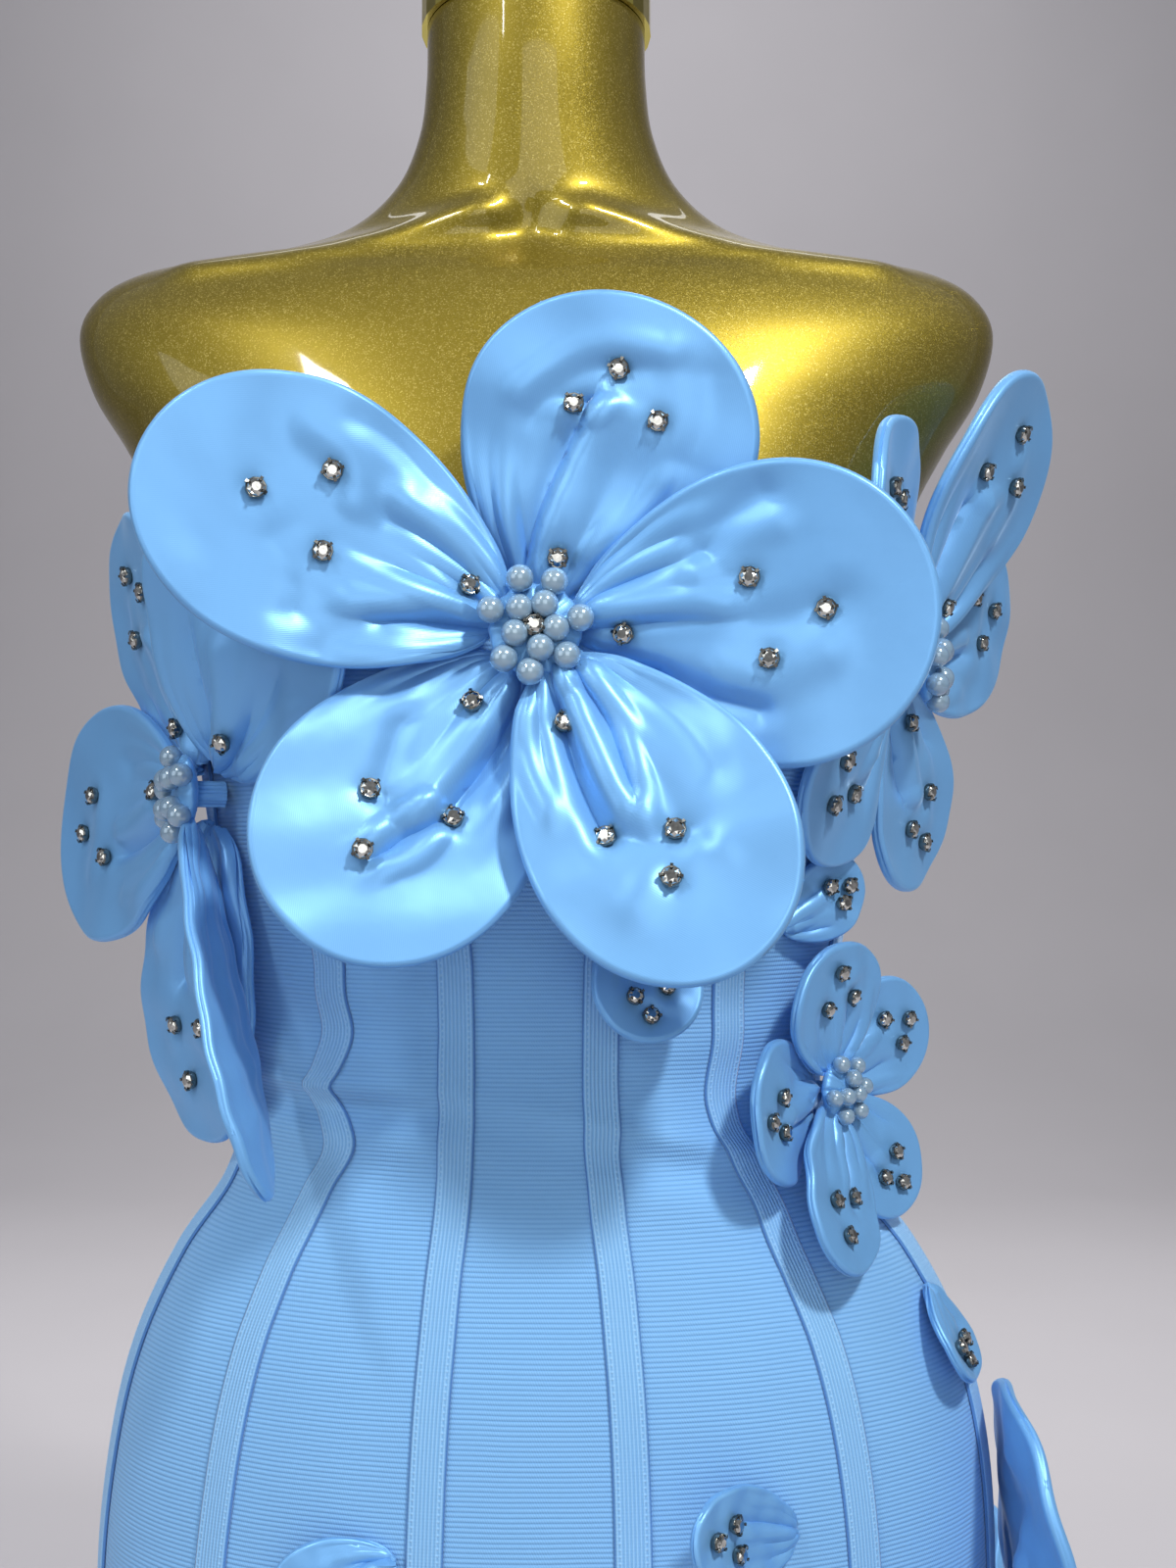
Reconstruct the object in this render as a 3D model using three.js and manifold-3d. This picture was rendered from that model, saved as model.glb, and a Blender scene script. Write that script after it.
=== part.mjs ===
// Strapless mini dress in ribbed knit with padded satin flowers, on a limbless torso form.
// Units are millimetres. +Z is up and -Y is the front. Left and right are as seen from the front,
// so right is +X. The origin is the middle of the form's flat foot.
import * as THREE from 'three';
import { mergeVertices } from 'three/addons/utils/BufferGeometryUtils.js';
import Module from 'manifold-3d';

const wasm = await Module();
wasm.setup();

// ---------------------------------------------------------------- driving dimensions
const CLEARANCE = 1.0; // form to the inside of the cloth
const KNIT = 1.6; // wall of the knit panels
const STRIP_WALL = 1.2; // wall of the strips and bands that lie on the panels
const STRIP_WIDTH = 13;
const BAND_HEIGHT = 14;
const GAP = 0.3; // between pieces at a seam
const HEM_Z = 55;
const SATIN = 2.4; // a petal: two satin layers, sewn and turned

const ZIP_HALF_WIDTH = 12;
const ZIP_CHAIN_HALF_WIDTH = 3;
const ZIP_TAPE = 0.9;
const ZIP_CHAIN = 2.4;
const ZIP_END_ROW = 4; // panel row where the zip stops, at the hip
const SLIDER = { width: 9, thick: 3, length: 13, z: 664 };
const LUG = { inner: 2.4, thick: 1.1, height: 3.4, length: 4 };
const PIN = { radius: 0.9, height: 2.3 };
const PULL = { eyeOuter: 1.9, eyeInner: 1.25, eyeHalf: 2.1, length: 27, halfWidth: 4, thick: 1.4 };

const PEARL_RADIUS = 4.1;
const CAP = { radius: 46.5, height: 40, edge: 3 };

// ---------------------------------------------------------------- tables
// Gives every row of a table its column names.
function table(columns, rows) {
  return rows.map((row) => Object.fromEntries(columns.map((name, k) => [name, row[k]])));
}

// The form, a row for each section from the foot up. Each section reaches sideX either way from
// midX, frontY and backY from the front to the back, and its side, front and back points have
// heights of their own, level up to the armpit. square is the power of its rounded outline.
const FORM_ROWS = table(
  ['sideZ', 'sideX', 'frontZ', 'frontY', 'backZ', 'backY', 'midX', 'midY', 'square'],
  [
    [0, 136, 0, -82, 0, 92, 3, 2, 2.2],
    [10, 142, 10, -88, 10, 98, 3, 2, 2.2],
    [60, 150, 60, -92, 60, 104, 4, 2, 2.2],
    [150, 161, 150, -96, 150, 111, 5, 2, 2.2],
    [230, 169, 230, -98, 230, 116, 5, 2, 2.15],
    [295, 172, 295, -99, 295, 117, 5, 2, 2.1],
    [345, 169, 345, -97, 345, 113, 6, 2, 2.1],
    [385, 160, 385, -93, 385, 105, 6, 1, 2.1],
    [420, 143, 420, -87, 420, 93, 5, 0, 2.1],
    [448, 122, 448, -82, 448, 82, 3, 0, 2.1],
    [478, 111, 478, -79, 478, 74, 0, 0, 2.1],
    [508, 114, 508, -81, 508, 75, 0, 0, 2.1],
    [545, 121, 545, -86, 545, 80, 0, 0, 2.1],
    [590, 128, 590, -93, 590, 87, 0, 0, 2.1],
    [635, 135, 635, -98, 635, 92, 0, 0, 2.1],
    [675, 143, 675, -98, 675, 94, 0, 2, 2.15],
    [708, 152, 708, -92, 708, 92, 0, 4, 2.2],
    [735, 166, 732, -85, 738, 90, 0, 7, 2.2],
    [760, 181, 751, -78, 762, 87, 0, 8, 2.2],
    [786, 187.5, 768, -71, 785, 82, 0, 9, 2.2],
    [803, 180, 782, -64, 802, 76, 0, 10, 2.2],
    [813, 163, 792, -58, 815, 69, 0, 10, 2.2],
    [818, 138, 799, -53, 825, 62, 0, 9, 2.15],
    [822, 104, 805, -50, 835, 54, 0, 6, 2.1],
    [830, 76, 813, -48, 846, 46, 0, 2, 2.05],
    [845, 57, 827, -48, 859, 40, 0, -3, 2],
    [864, 47.5, 850, -50, 872, 36, 0, -7, 2],
    [884, 44.5, 876, -53, 888, 34, 0, -9, 2],
    [904, 44, 904, -55, 904, 34, 0, -10.5, 2],
  ],
);
const ARMPIT_ROW = 16; // the last level row
const BUST = { x: 68, z: 636, spreadX: 42, spreadZ: 46, depth: 14 };

// Where the upright seams run, as shares of the way round from centre front to centre back.
const SEAM_ROWS = table(
  ['z', 's1', 's2', 's3', 's4'],
  [
    [55, 0.086, 0.268, 0.43, 0.72],
    [290, 0.079, 0.264, 0.43, 0.72],
    [400, 0.08, 0.258, 0.425, 0.72],
    [478, 0.084, 0.245, 0.42, 0.72],
    [530, 0.08, 0.228, 0.415, 0.715],
    [600, 0.088, 0.232, 0.41, 0.71],
    [710, 0.1, 0.25, 0.41, 0.71],
  ],
);

// Where a seam is pulled sideways by the folds at the waist: shift in mm, away from centre front.
const SEAM_WAVES = table(
  ['side', 'seam', 'z', 'reach', 'shift'],
  [
    [-1, 's2', 505, 11, -3],
    [-1, 's2', 485, 9, 5],
    [-1, 's2', 466, 11, -7],
    [1, 's2', 480, 16, -3],
    [1, 's2', 448, 14, 3],
  ],
);

// The largest folds: each ridge runs from one point to another, given by its signed share of the
// way round (left is negative) and its height, and stands out by its depth.
const FOLDS = table(
  ['from', 'fromZ', 'to', 'toZ', 'reach', 'depth'],
  [
    [-0.42, 503, -0.06, 495, 9, 4],
    [-0.06, 494, 0.3, 466, 10, 2.2],
    [-0.4, 470, -0.04, 470, 8, 2.6],
    [0.02, 458, 0.34, 436, 10, 1.6],
    [0.5, 490, 0.9, 474, 10, 2.4],
    [-0.92, 492, -0.55, 480, 10, 2.6],
  ],
);

// The rows of points up every panel. The two highest follow the top edge, so they come from TOP.
const PANEL_HEIGHTS = [
  HEM_Z, HEM_Z + BAND_HEIGHT, 150, 230, 295, 350, 395, 430, 454, 470, 484, 498, 514, 550, 600, 645,
];
const TOP = { front: 694, side: 690, back: 680 };
const LAST_ROW = PANEL_HEIGHTS.length + 1;

// The panels in order round the body, each from its left seam to its right one as seen from
// outside. A seam is named by its side (1 right, -1 left) and its column of SEAM_ROWS.
const PANELS = table(
  ['name', 'leftSide', 'leftSeam', 'rightSide', 'rightSeam', 'columns'],
  [
    ['centre_front', -1, 's1', 1, 's1', 2],
    ['front_side_right', 1, 's1', 1, 's2', 3],
    ['side_front_right', 1, 's2', 1, 's3', 3],
    ['side_back_right', 1, 's3', 1, 's4', 4],
    ['back_right', 1, 's4', 1, 'end', 3],
    ['back_left', -1, 'end', -1, 's4', 3],
    ['side_back_left', -1, 's4', -1, 's3', 4],
    ['side_front_left', -1, 's3', -1, 's2', 3],
    ['front_side_left', -1, 's2', -1, 's1', 3],
  ],
);

// Flowers: where each is sewn on, by its signed share of the way round and its height, how far its
// plane stands off the cloth, which way it faces (yaw from the front towards +X, pitch up), the
// radius of the pad its petals are sewn round, how far that reaches back to the cloth and out to
// the pearls, and the pearls in its two rings.
const FLOWERS = table(
  ['name', 'share', 'z', 'off', 'yaw', 'pitch', 'pad', 'shank', 'face', 'inner', 'outer'],
  [
    ['bust', 0.01, 646, 4, 0, 4, 12, 4, 15.5, 5, 7],
    ['left', -0.35, 595, 5, -65, 0, 11, 3.7, 13, 4, 6],
    ['right', 0.42, 645, 5, 78, 0, 11, 2.2, 14.8, 4, 6],
    ['waist', 0.385, 484, 8, 46, 2, 6, 8.1, 9.8, 3, 6],
    ['hip', 0.44, 245, 8, 80, 0, 11, 7.5, 15, 4, 6],
  ],
);

// Petals of each flower: azimuth round the flower (0 to its right, 90 up), rise off its plane at
// the root, curl on to the tip, cup across, spin about its own length and turn of its plane about
// the upright, all in degrees, then level, how far out its root is layered, its length and width.
const PETAL_COLUMNS = [
  'azimuth', 'rise', 'curl', 'cup', 'spin', 'turn', 'level', 'length', 'width',
];
const PETALS = {
  bust: table(PETAL_COLUMNS, [
    [156, 13, 2, 10, 0, 0, 8, 130, 92],
    [70, 12, 3, 6, 0, 0, 0, 107, 102],
    [4, 12, 2, 8, 8, 0, 5.5, 122, 102],
    [-60, 13, 2, 10, 0, 0, 11, 122, 88],
    [-125, 12, 4, 6, 0, 0, 0, 118, 94],
  ]),
  left: table(PETAL_COLUMNS, [
    [52, 4, -14, 10, 32, 0, -1, 110, 98],
    [121, 9, 4, 8, 0, 0, 3, 116, 76],
    [187, 9, 8, 10, 0, 0, 9, 118, 96],
    [-61, -4, 0, 6, 30, 0, 9, 145, 55],
    [-108, 1, -7, 6, -17, 0, 0, 128, 82],
  ]),
  right: table(PETAL_COLUMNS, [
    [74, 24, 6, 10, -15, 0, 8.4, 112, 88],
    [145, 2, -5, 8, -9, 0, 0, 100, 80],
    [20, 19, 4, 8, 0, 0, 5.2, 114, 78],
    [-135, -10, -20, 8, 0, 0, -2, 84, 76],
    [-54, 3, 8, 8, 20, 0, 0.4, 86, 74],
  ]),
  waist: table(PETAL_COLUMNS, [
    [103, 11, 4, 10, 0, 0, 5, 50, 56],
    [30, 10, 8, 8, 0, 0, 0, 52, 46],
    [-53, 10, 6, 8, -2, 0, 2.8, 52, 44],
    [-115, 17, 6, 8, 0, 0, 6.2, 64, 45],
    [187, 12, 6, 8, 0, 0, 0, 56, 52],
  ]),
  hip: table(PETAL_COLUMNS, [
    [100, -5, 0, 10, 10, 0, 9, 118, 100],
    [172, 8, 2, 6, 0, 0, 0, 116, 98],
    [-2, -4, 2, 6, 0, 0, 0, 116, 98],
    [-60, 10, 2, 10, 0, 0, 10, 118, 100],
    [-122, 8, 0, 8, -6, 0, 5, 116, 96],
  ]),
};

// Single small petals sewn on by their roots.
const LOOSE_PETALS = table(
  ['share', 'z', 'off', 'yaw', 'pitch', ...PETAL_COLUMNS],
  [
    [0.285, 546, 1.4, 44, 0, 28, 10, 4, 14, 0, 0, 0, 42, 32],
    [0.118, 552, 0.8, 12, 0, -90, 16, 6, 14, 0, 0, 0, 46, 40],
    [0.4, 408, 1.8, 66, 20, -96, 6, 4, 14, 0, 0, 0, 38, 36],
    [0.205, 338, 0.35, 28, 10, 170, 16, 8, 14, 0, 0, 0, 58, 34],
    [-0.1, 331, 0.5, -14, 10, 205, 16, 8, 14, 0, 0, 0, 46, 36],
  ],
);

// ---------------------------------------------------------------- materials
function plain(colour, roughness, metalness) {
  return () => new THREE.MeshStandardMaterial({ color: colour, roughness, metalness });
}
const knit = plain(0x7fb4e4, 0.8, 0);
const ribbed = plain(0x86bbea, 0.78, 0);
const satin = plain(0x74aee2, 0.42, 0);
const pearl = plain(0x7d97ad, 0.25, 0.1);
const gold = plain(0x8f7a2c, 0.28, 0.85);
const mirrorGold = plain(0xc9b45a, 0.06, 1);
const tape = plain(0x6fa6da, 0.75, 0);
const steel = plain(0xc7cacc, 0.25, 1);

// ---------------------------------------------------------------- small helpers
function clamp(value, low, high) {
  return Math.min(high, Math.max(low, value));
}

function radians(degrees) {
  return (degrees * Math.PI) / 180;
}

function range(from, to) {
  return Array.from({ length: to - from + 1 }, (_, k) => from + k);
}

function bell(distance, reach) {
  return Math.exp(-((distance / reach) ** 2));
}

// A smooth curve through four evenly spaced values, between the middle two.
function smoothStep4(a, b, c, d, f) {
  const slopeIn = (c - a) / 2;
  const slopeOut = (d - b) / 2;
  const f2 = f * f;
  const f3 = f2 * f;
  const ends = b * (2 * f3 - 3 * f2 + 1) + c * (3 * f2 - 2 * f3);
  return ends + slopeIn * (f3 - 2 * f2 + f) + slopeOut * (f3 - f2);
}

// The row at a fractional place in a table, with every column run smoothly through its rows.
function rowAt(rows, place) {
  const i = clamp(Math.floor(place), 0, rows.length - 2);
  const pick = (k, name) => rows[clamp(k, 0, rows.length - 1)][name];
  const row = {};
  for (const name of Object.keys(rows[0])) {
    const near = [-1, 0, 1, 2].map((step) => pick(i + step, name));
    row[name] = smoothStep4(...near, place - i);
  }
  return row;
}

// A column's value at height z, in straight steps between rows.
function columnAt(rows, name, z) {
  let i = 0;
  while (i < rows.length - 2 && z > rows[i + 1].z) {
    i += 1;
  }
  const f = clamp((z - rows[i].z) / (rows[i + 1].z - rows[i].z), 0, 1);
  return rows[i][name] + (rows[i + 1][name] - rows[i][name]) * f;
}

// ---------------------------------------------------------------- the form's surface
function bustDepth(x, z) {
  return BUST.depth * bell(Math.abs(x) - BUST.x, BUST.spreadX) * bell(z - BUST.z, BUST.spreadZ);
}

// A point of a section; the angle is 0 at the front and grows towards +X.
function sectionPoint(row, angle) {
  const power = 2 / row.square;
  const sine = Math.sin(angle);
  const cosine = Math.cos(angle);
  const across = Math.sign(sine) * Math.abs(sine) ** power;
  const along = Math.abs(cosine) ** power;
  const inFront = cosine >= 0;
  const x = row.midX + row.sideX * across;
  const z = row.sideZ + ((inFront ? row.frontZ : row.backZ) - row.sideZ) * along;
  let y = row.midY + ((inFront ? row.frontY : row.backY) - row.midY) * along;
  if (inFront) {
    y -= bustDepth(x, z) * along;
  }
  return new THREE.Vector3(x, y, z);
}

// The level section at height z, found by halving between the foot and the armpit.
function levelRow(z) {
  let low = 0;
  let high = ARMPIT_ROW;
  for (let step = 0; step < 40; step += 1) {
    const middle = (low + high) / 2;
    if (rowAt(FORM_ROWS, middle).sideZ < z) {
      low = middle;
    } else {
      high = middle;
    }
  }
  return rowAt(FORM_ROWS, low);
}

// Each side of a section by length: angles and distances from centre front to centre back.
const ARC_STEPS = 120;
const sideArcs = new Map();
function sideArc(side, z) {
  const key = `${side} ${z.toFixed(3)}`;
  if (!sideArcs.has(key)) {
    const row = levelRow(z);
    const lean = -row.midX / row.sideX;
    const start = Math.asin(Math.sign(lean) * Math.abs(lean) ** (row.square / 2));
    const sweep = side > 0 ? Math.PI - 2 * start : -(Math.PI + 2 * start);
    const angles = [start];
    const lengths = [0];
    let last = sectionPoint(row, start);
    for (let k = 1; k <= ARC_STEPS; k += 1) {
      angles.push(start + (sweep * k) / ARC_STEPS);
      const point = sectionPoint(row, angles[k]);
      lengths.push(lengths[k - 1] + point.distanceTo(last));
      last = point;
    }
    sideArcs.set(key, { row, angles, lengths, total: lengths[ARC_STEPS] });
  }
  return sideArcs.get(key);
}

// The angle at a signed share of the way round the section at height z.
function shareAngle(share, z) {
  const arc = sideArc(share < 0 ? -1 : 1, z);
  const wanted = Math.abs(share) * arc.total;
  let k = 0;
  while (k < ARC_STEPS - 1 && arc.lengths[k + 1] < wanted) {
    k += 1;
  }
  const f = (wanted - arc.lengths[k]) / (arc.lengths[k + 1] - arc.lengths[k]);
  return arc.angles[k] + (arc.angles[k + 1] - arc.angles[k]) * f;
}

function foldDepth(share, z) {
  let depth = 0;
  for (const fold of FOLDS) {
    const f = (share - fold.from) / (fold.to - fold.from);
    if (f > 0 && f < 1) {
      const ridgeZ = fold.fromZ + (fold.toZ - fold.fromZ) * f;
      depth += fold.depth * Math.sin(Math.PI * f) ** 0.7 * bell(z - ridgeZ, fold.reach);
    }
  }
  return depth;
}

// A point on the form at a signed share and height, and the way out of the surface there.
const NORMAL_STEP = 0.02;
function formSpot(share, z) {
  const angle = shareAngle(share, z);
  const row = sideArc(share < 0 ? -1 : 1, z).row;
  const point = sectionPoint(row, angle);
  const round = sectionPoint(row, angle + NORMAL_STEP).sub(sectionPoint(row, angle - NORMAL_STEP));
  const up = sectionPoint(levelRow(z + 2), angle).sub(sectionPoint(levelRow(z - 2), angle));
  return { point, out: round.cross(up).normalize() };
}

// A point of the cloth, off mm out from the inner face of the knit.
function clothPoint(share, z, off) {
  const spot = formSpot(share, z);
  return spot.point.addScaledVector(spot.out, CLEARANCE + foldDepth(share, z) + off);
}

// ---------------------------------------------------------------- closed meshes
function geometryFrom(points, faces) {
  const geometry = new THREE.BufferGeometry();
  const places = points.flatMap((p) => [p.x, p.y, p.z]);
  geometry.setAttribute('position', new THREE.Float32BufferAttribute(places, 3));
  geometry.setIndex(faces);
  geometry.computeVertexNormals();
  return geometry;
}

// A solid through rings of points, each counter-clockwise from above, from the lowest up.
function loftGeometry(rings) {
  const count = rings[0].length;
  const points = rings.flat();
  const faces = [];
  for (let k = 0; k < rings.length - 1; k += 1) {
    for (let i = 0; i < count; i += 1) {
      const next = (i + 1) % count;
      const a = k * count + i;
      const b = k * count + next;
      faces.push(a, b, b + count, a, b + count, a + count);
    }
  }
  const middle = (ring) => ring.reduce((sum, p) => sum.add(p), new THREE.Vector3()).divideScalar(count);
  const foot = points.push(middle(rings[0])) - 1;
  const top = points.push(middle(rings[rings.length - 1])) - 1;
  const last = (rings.length - 1) * count;
  for (let i = 0; i < count; i += 1) {
    const next = (i + 1) % count;
    faces.push(foot, next, i, top, last + i, last + next);
  }
  return geometryFrom(points, faces);
}

// A wall between two grids of points, inner and outer. Seen from outside, a grid's rows run up
// and its columns run to the right.
function wallGeometry(inner, outer) {
  const rows = inner.length;
  const columns = inner[0].length;
  const points = [...inner.flat(), ...outer.flat()];
  const back = (r, c) => r * columns + c;
  const front = (r, c) => rows * columns + back(r, c);
  const faces = [];
  const quad = (a, b, c, d) => faces.push(a, b, c, a, c, d);
  for (let r = 0; r < rows - 1; r += 1) {
    for (let c = 0; c < columns - 1; c += 1) {
      quad(front(r, c), front(r, c + 1), front(r + 1, c + 1), front(r + 1, c));
      faces.push(back(r, c), back(r + 1, c + 1), back(r, c + 1));
      faces.push(back(r, c), back(r + 1, c), back(r + 1, c + 1));
    }
    quad(back(r, 0), front(r, 0), front(r + 1, 0), back(r + 1, 0));
    quad(front(r, columns - 1), back(r, columns - 1), back(r + 1, columns - 1), front(r + 1, columns - 1));
  }
  for (let c = 0; c < columns - 1; c += 1) {
    quad(back(0, c), back(0, c + 1), front(0, c + 1), front(0, c));
    quad(front(rows - 1, c), front(rows - 1, c + 1), back(rows - 1, c + 1), back(rows - 1, c));
  }
  return geometryFrom(points, faces);
}

// Solids joined into one.
function solidFrom(geometry) {
  const bare = geometry.clone();
  bare.deleteAttribute('normal');
  bare.deleteAttribute('uv');
  const merged = mergeVertices(bare, 1e-4);
  return new wasm.Manifold(
    new wasm.Mesh({
      numProp: 3,
      vertProperties: new Float32Array(merged.attributes.position.array),
      triVerts: new Uint32Array(merged.index.array),
    }),
  );
}

function joined(geometries) {
  const [first, ...rest] = geometries.map(solidFrom);
  const mesh = rest.reduce((sum, solid) => sum.add(solid), first).getMesh();
  const points = [];
  for (let k = 0; k < mesh.vertProperties.length; k += mesh.numProp) {
    points.push(new THREE.Vector3(...mesh.vertProperties.slice(k, k + 3)));
  }
  return geometryFrom(points, Array.from(mesh.triVerts));
}

// ---------------------------------------------------------------- the group
const dress = new THREE.Group();

function addPiece(parent, name, geometry, material) {
  const mesh = new THREE.Mesh(geometry, material());
  mesh.name = name;
  parent.add(mesh);
  return mesh;
}

// ---------------------------------------------------------------- knit panels
function seamShare(side, seam, z) {
  if (seam === 'end') {
    return side;
  }
  let share = columnAt(SEAM_ROWS, seam, z);
  for (const wave of SEAM_WAVES) {
    if (wave.side === side && wave.seam === seam) {
      share += (wave.shift / sideArc(side, z).total) * bell(z - wave.z, wave.reach);
    }
  }
  return side * share;
}

function topHeight(share) {
  const round = Math.abs(share);
  const end = round < 0.5 ? TOP.front : TOP.back;
  return TOP.side + (end - TOP.side) * Math.cos(Math.PI * round) ** 2;
}

// The places of one row of points across a panel, trimmed at both seams. The points next to each
// seam are where the strip or the zip on that seam has its edge.
function panelRow(panel, r, trim) {
  const level = r < PANEL_HEIGHTS.length ? PANEL_HEIGHTS[r] : TOP.side;
  const drop = r === PANEL_HEIGHTS.length ? BAND_HEIGHT : 0;
  const edge = (side, seam, inward, distance) =>
    seamShare(side, seam, level) + (inward * distance) / sideArc(side, level).total;
  const covered = (seam) => (seam === 'end' ? ZIP_HALF_WIDTH : STRIP_WIDTH / 2);
  const start = edge(panel.leftSide, panel.leftSeam, 1, covered(panel.leftSeam));
  const end = edge(panel.rightSide, panel.rightSeam, -1, covered(panel.rightSeam));
  const inner = range(0, panel.columns).map((c) => start + ((end - start) * c) / panel.columns);
  const shares = [
    edge(panel.leftSide, panel.leftSeam, 1, trim),
    ...inner,
    edge(panel.rightSide, panel.rightSeam, -1, trim),
  ];
  return shares.map((share) => ({ share, z: r < PANEL_HEIGHTS.length ? level : topHeight(share) - drop }));
}

function gridPoints(grid, off) {
  return grid.map((row) => row.map((spot) => clothPoint(spot.share, spot.z, off)));
}

const panels = [];
function addPanels() {
  for (const panel of PANELS) {
    const grid = range(0, LAST_ROW).map((r) => panelRow(panel, r, GAP / 2));
    const outer = gridPoints(grid, KNIT);
    panels.push({ name: panel.name, grid, outer });
    addPiece(dress, `panel_${panel.name}`, wallGeometry(gridPoints(grid, 0), outer), knit);
  }
}

// ---------------------------------------------------------------- the torso form
const FOOT_HEIGHTS = [0, 10, 30];
const YOKE_PLACES = [16, 17, 18, 18.6, 19, 19.5, 20, 21, 22, 23, 24, 25, 26, 27, 28];

// Under the cloth the form has the panels' own points, so its clearance is the same all over.
function addForm() {
  const acrossPanels = (r) => PANELS.flatMap((panel) => panelRow(panel, r, 0).slice(0, -1));
  const onForm = (spot) => {
    const arc = sideArc(Math.sign(spot.share) || 1, spot.z);
    return sectionPoint(arc.row, shareAngle(spot.share, spot.z));
  };
  const foot = FOOT_HEIGHTS.map((z) => acrossPanels(0).map((spot) => onForm({ share: spot.share, z })));
  const underCloth = range(0, LAST_ROW).map((r) => acrossPanels(r).map(onForm));
  const angles = acrossPanels(LAST_ROW).map((spot) => shareAngle(spot.share, spot.z));
  const yokeRow = (row) => angles.map((angle) => sectionPoint(row, angle));
  const yoke = YOKE_PLACES.map((place) => yokeRow(rowAt(FORM_ROWS, place)));
  addPiece(dress, 'form', loftGeometry([...foot, ...underCloth, ...yoke]), gold);

  const neck = FORM_ROWS[FORM_ROWS.length - 1];
  const outline = [
    new THREE.Vector2(0, 0),
    new THREE.Vector2(CAP.radius, 0),
    new THREE.Vector2(CAP.radius, CAP.height - CAP.edge),
    new THREE.Vector2(CAP.radius - CAP.edge * 0.3, CAP.height - CAP.edge * 0.3),
    new THREE.Vector2(CAP.radius - CAP.edge, CAP.height),
    new THREE.Vector2(0, CAP.height),
  ];
  const cap = addPiece(dress, 'form_cap', new THREE.LatheGeometry(outline, 32), mirrorGold);
  cap.rotation.x = Math.PI / 2;
  cap.position.set(0, (neck.frontY + neck.backY) / 2, neck.sideZ + GAP);
}

// ---------------------------------------------------------------- strips and bands on the panels
// A point on the outside of a panel's own facets, moved out: the facet between two columns.
function facetPoint(panel, r, fromColumn, toColumn, distance, off) {
  const a = panel.outer[r][fromColumn];
  const b = panel.outer[r][toColumn];
  const point = a.clone().lerp(b, distance / a.distanceTo(b));
  const spot = panel.grid[r][fromColumn];
  return point.addScaledVector(formSpot(spot.share, spot.z).out, off);
}

// A strip's grid over the seam between a left and a right panel: distances left and right of it.
function overSeam(left, right, rows, offsets) {
  const last = left.outer[0].length - 1;
  return rows.map((r) =>
    offsets.map(({ at, off }) => {
      if (at < 0) {
        return facetPoint(left, r, last, last - 1, -at, off);
      }
      return facetPoint(right, r, 0, 1, at, off);
    }),
  );
}

// Pulls the first and last row of a grid in by a distance.
function shortened(grid, start, end) {
  const last = grid.length - 1;
  const moved = grid.map((row) => row.map((p) => p.clone()));
  for (let c = 0; c < grid[0].length; c += 1) {
    moved[0][c].lerp(grid[1][c], start / grid[0][c].distanceTo(grid[1][c]));
    moved[last][c].lerp(grid[last - 1][c], end / grid[last][c].distanceTo(grid[last - 1][c]));
  }
  return moved;
}

function panelNamed(name) {
  return panels.find((panel) => panel.name === name);
}

function addStrips() {
  const half = STRIP_WIDTH / 2;
  PANELS.forEach((panel, k) => {
    const next = PANELS[(k + 1) % PANELS.length];
    if (panel.rightSeam === 'end') {
      return;
    }
    const layer = (off) => {
      const offsets = [-half, 0, half].map((at) => ({ at, off }));
      const grid = overSeam(panelNamed(panel.name), panelNamed(next.name), range(1, LAST_ROW - 1), offsets);
      return shortened(grid, GAP, GAP);
    };
    const name = `strip_${panel.rightSeam}_${panel.rightSide > 0 ? 'right' : 'left'}`;
    addPiece(dress, name, wallGeometry(layer(GAP), layer(GAP + STRIP_WALL)), ribbed);
  });
}

// A band round the body on two rows of the panels, open at the centre back: it starts and ends a
// gap inside the given column of the back panels, counted from the centre back.
function bandGrid(rows, off, column, gap) {
  const around = [...PANELS.slice(5), ...PANELS.slice(0, 5)].map((panel) => panelNamed(panel.name));
  return rows.map((r) => {
    const line = [facetPoint(around[0], r, column, column + 1, gap, off)];
    around.forEach((panel, k) => {
      const last = panel.outer[r].length - 1;
      const isFirst = k === 0;
      const isLast = k === around.length - 1;
      for (let c = isFirst ? column + 1 : 1; c < (isLast ? last - column : last); c += 1) {
        line.push(facetPoint(panel, r, c, c + 1, 0, off));
      }
      if (isLast) {
        line.push(facetPoint(panel, r, last - column, last - column - 1, gap, off));
      } else {
        line.push(facetPoint(panel, r, last, last - 1, 0, off));
      }
    });
    return line;
  });
}

const BACK_PANEL_EDGE = 0; // the column of a back panel at the centre back
const ZIP_EDGE = 1; // and its column at the edge of the zip
function addBands() {
  const bands = [
    ['hem_band', [0, 1], BACK_PANEL_EDGE],
    ['top_band', [LAST_ROW - 1, LAST_ROW], ZIP_EDGE],
  ];
  for (const [name, rows, column] of bands) {
    const inner = bandGrid(rows, GAP, column, GAP);
    const outer = bandGrid(rows, GAP + STRIP_WALL, column, GAP);
    addPiece(dress, name, wallGeometry(inner, outer), ribbed);
  }
}

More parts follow.
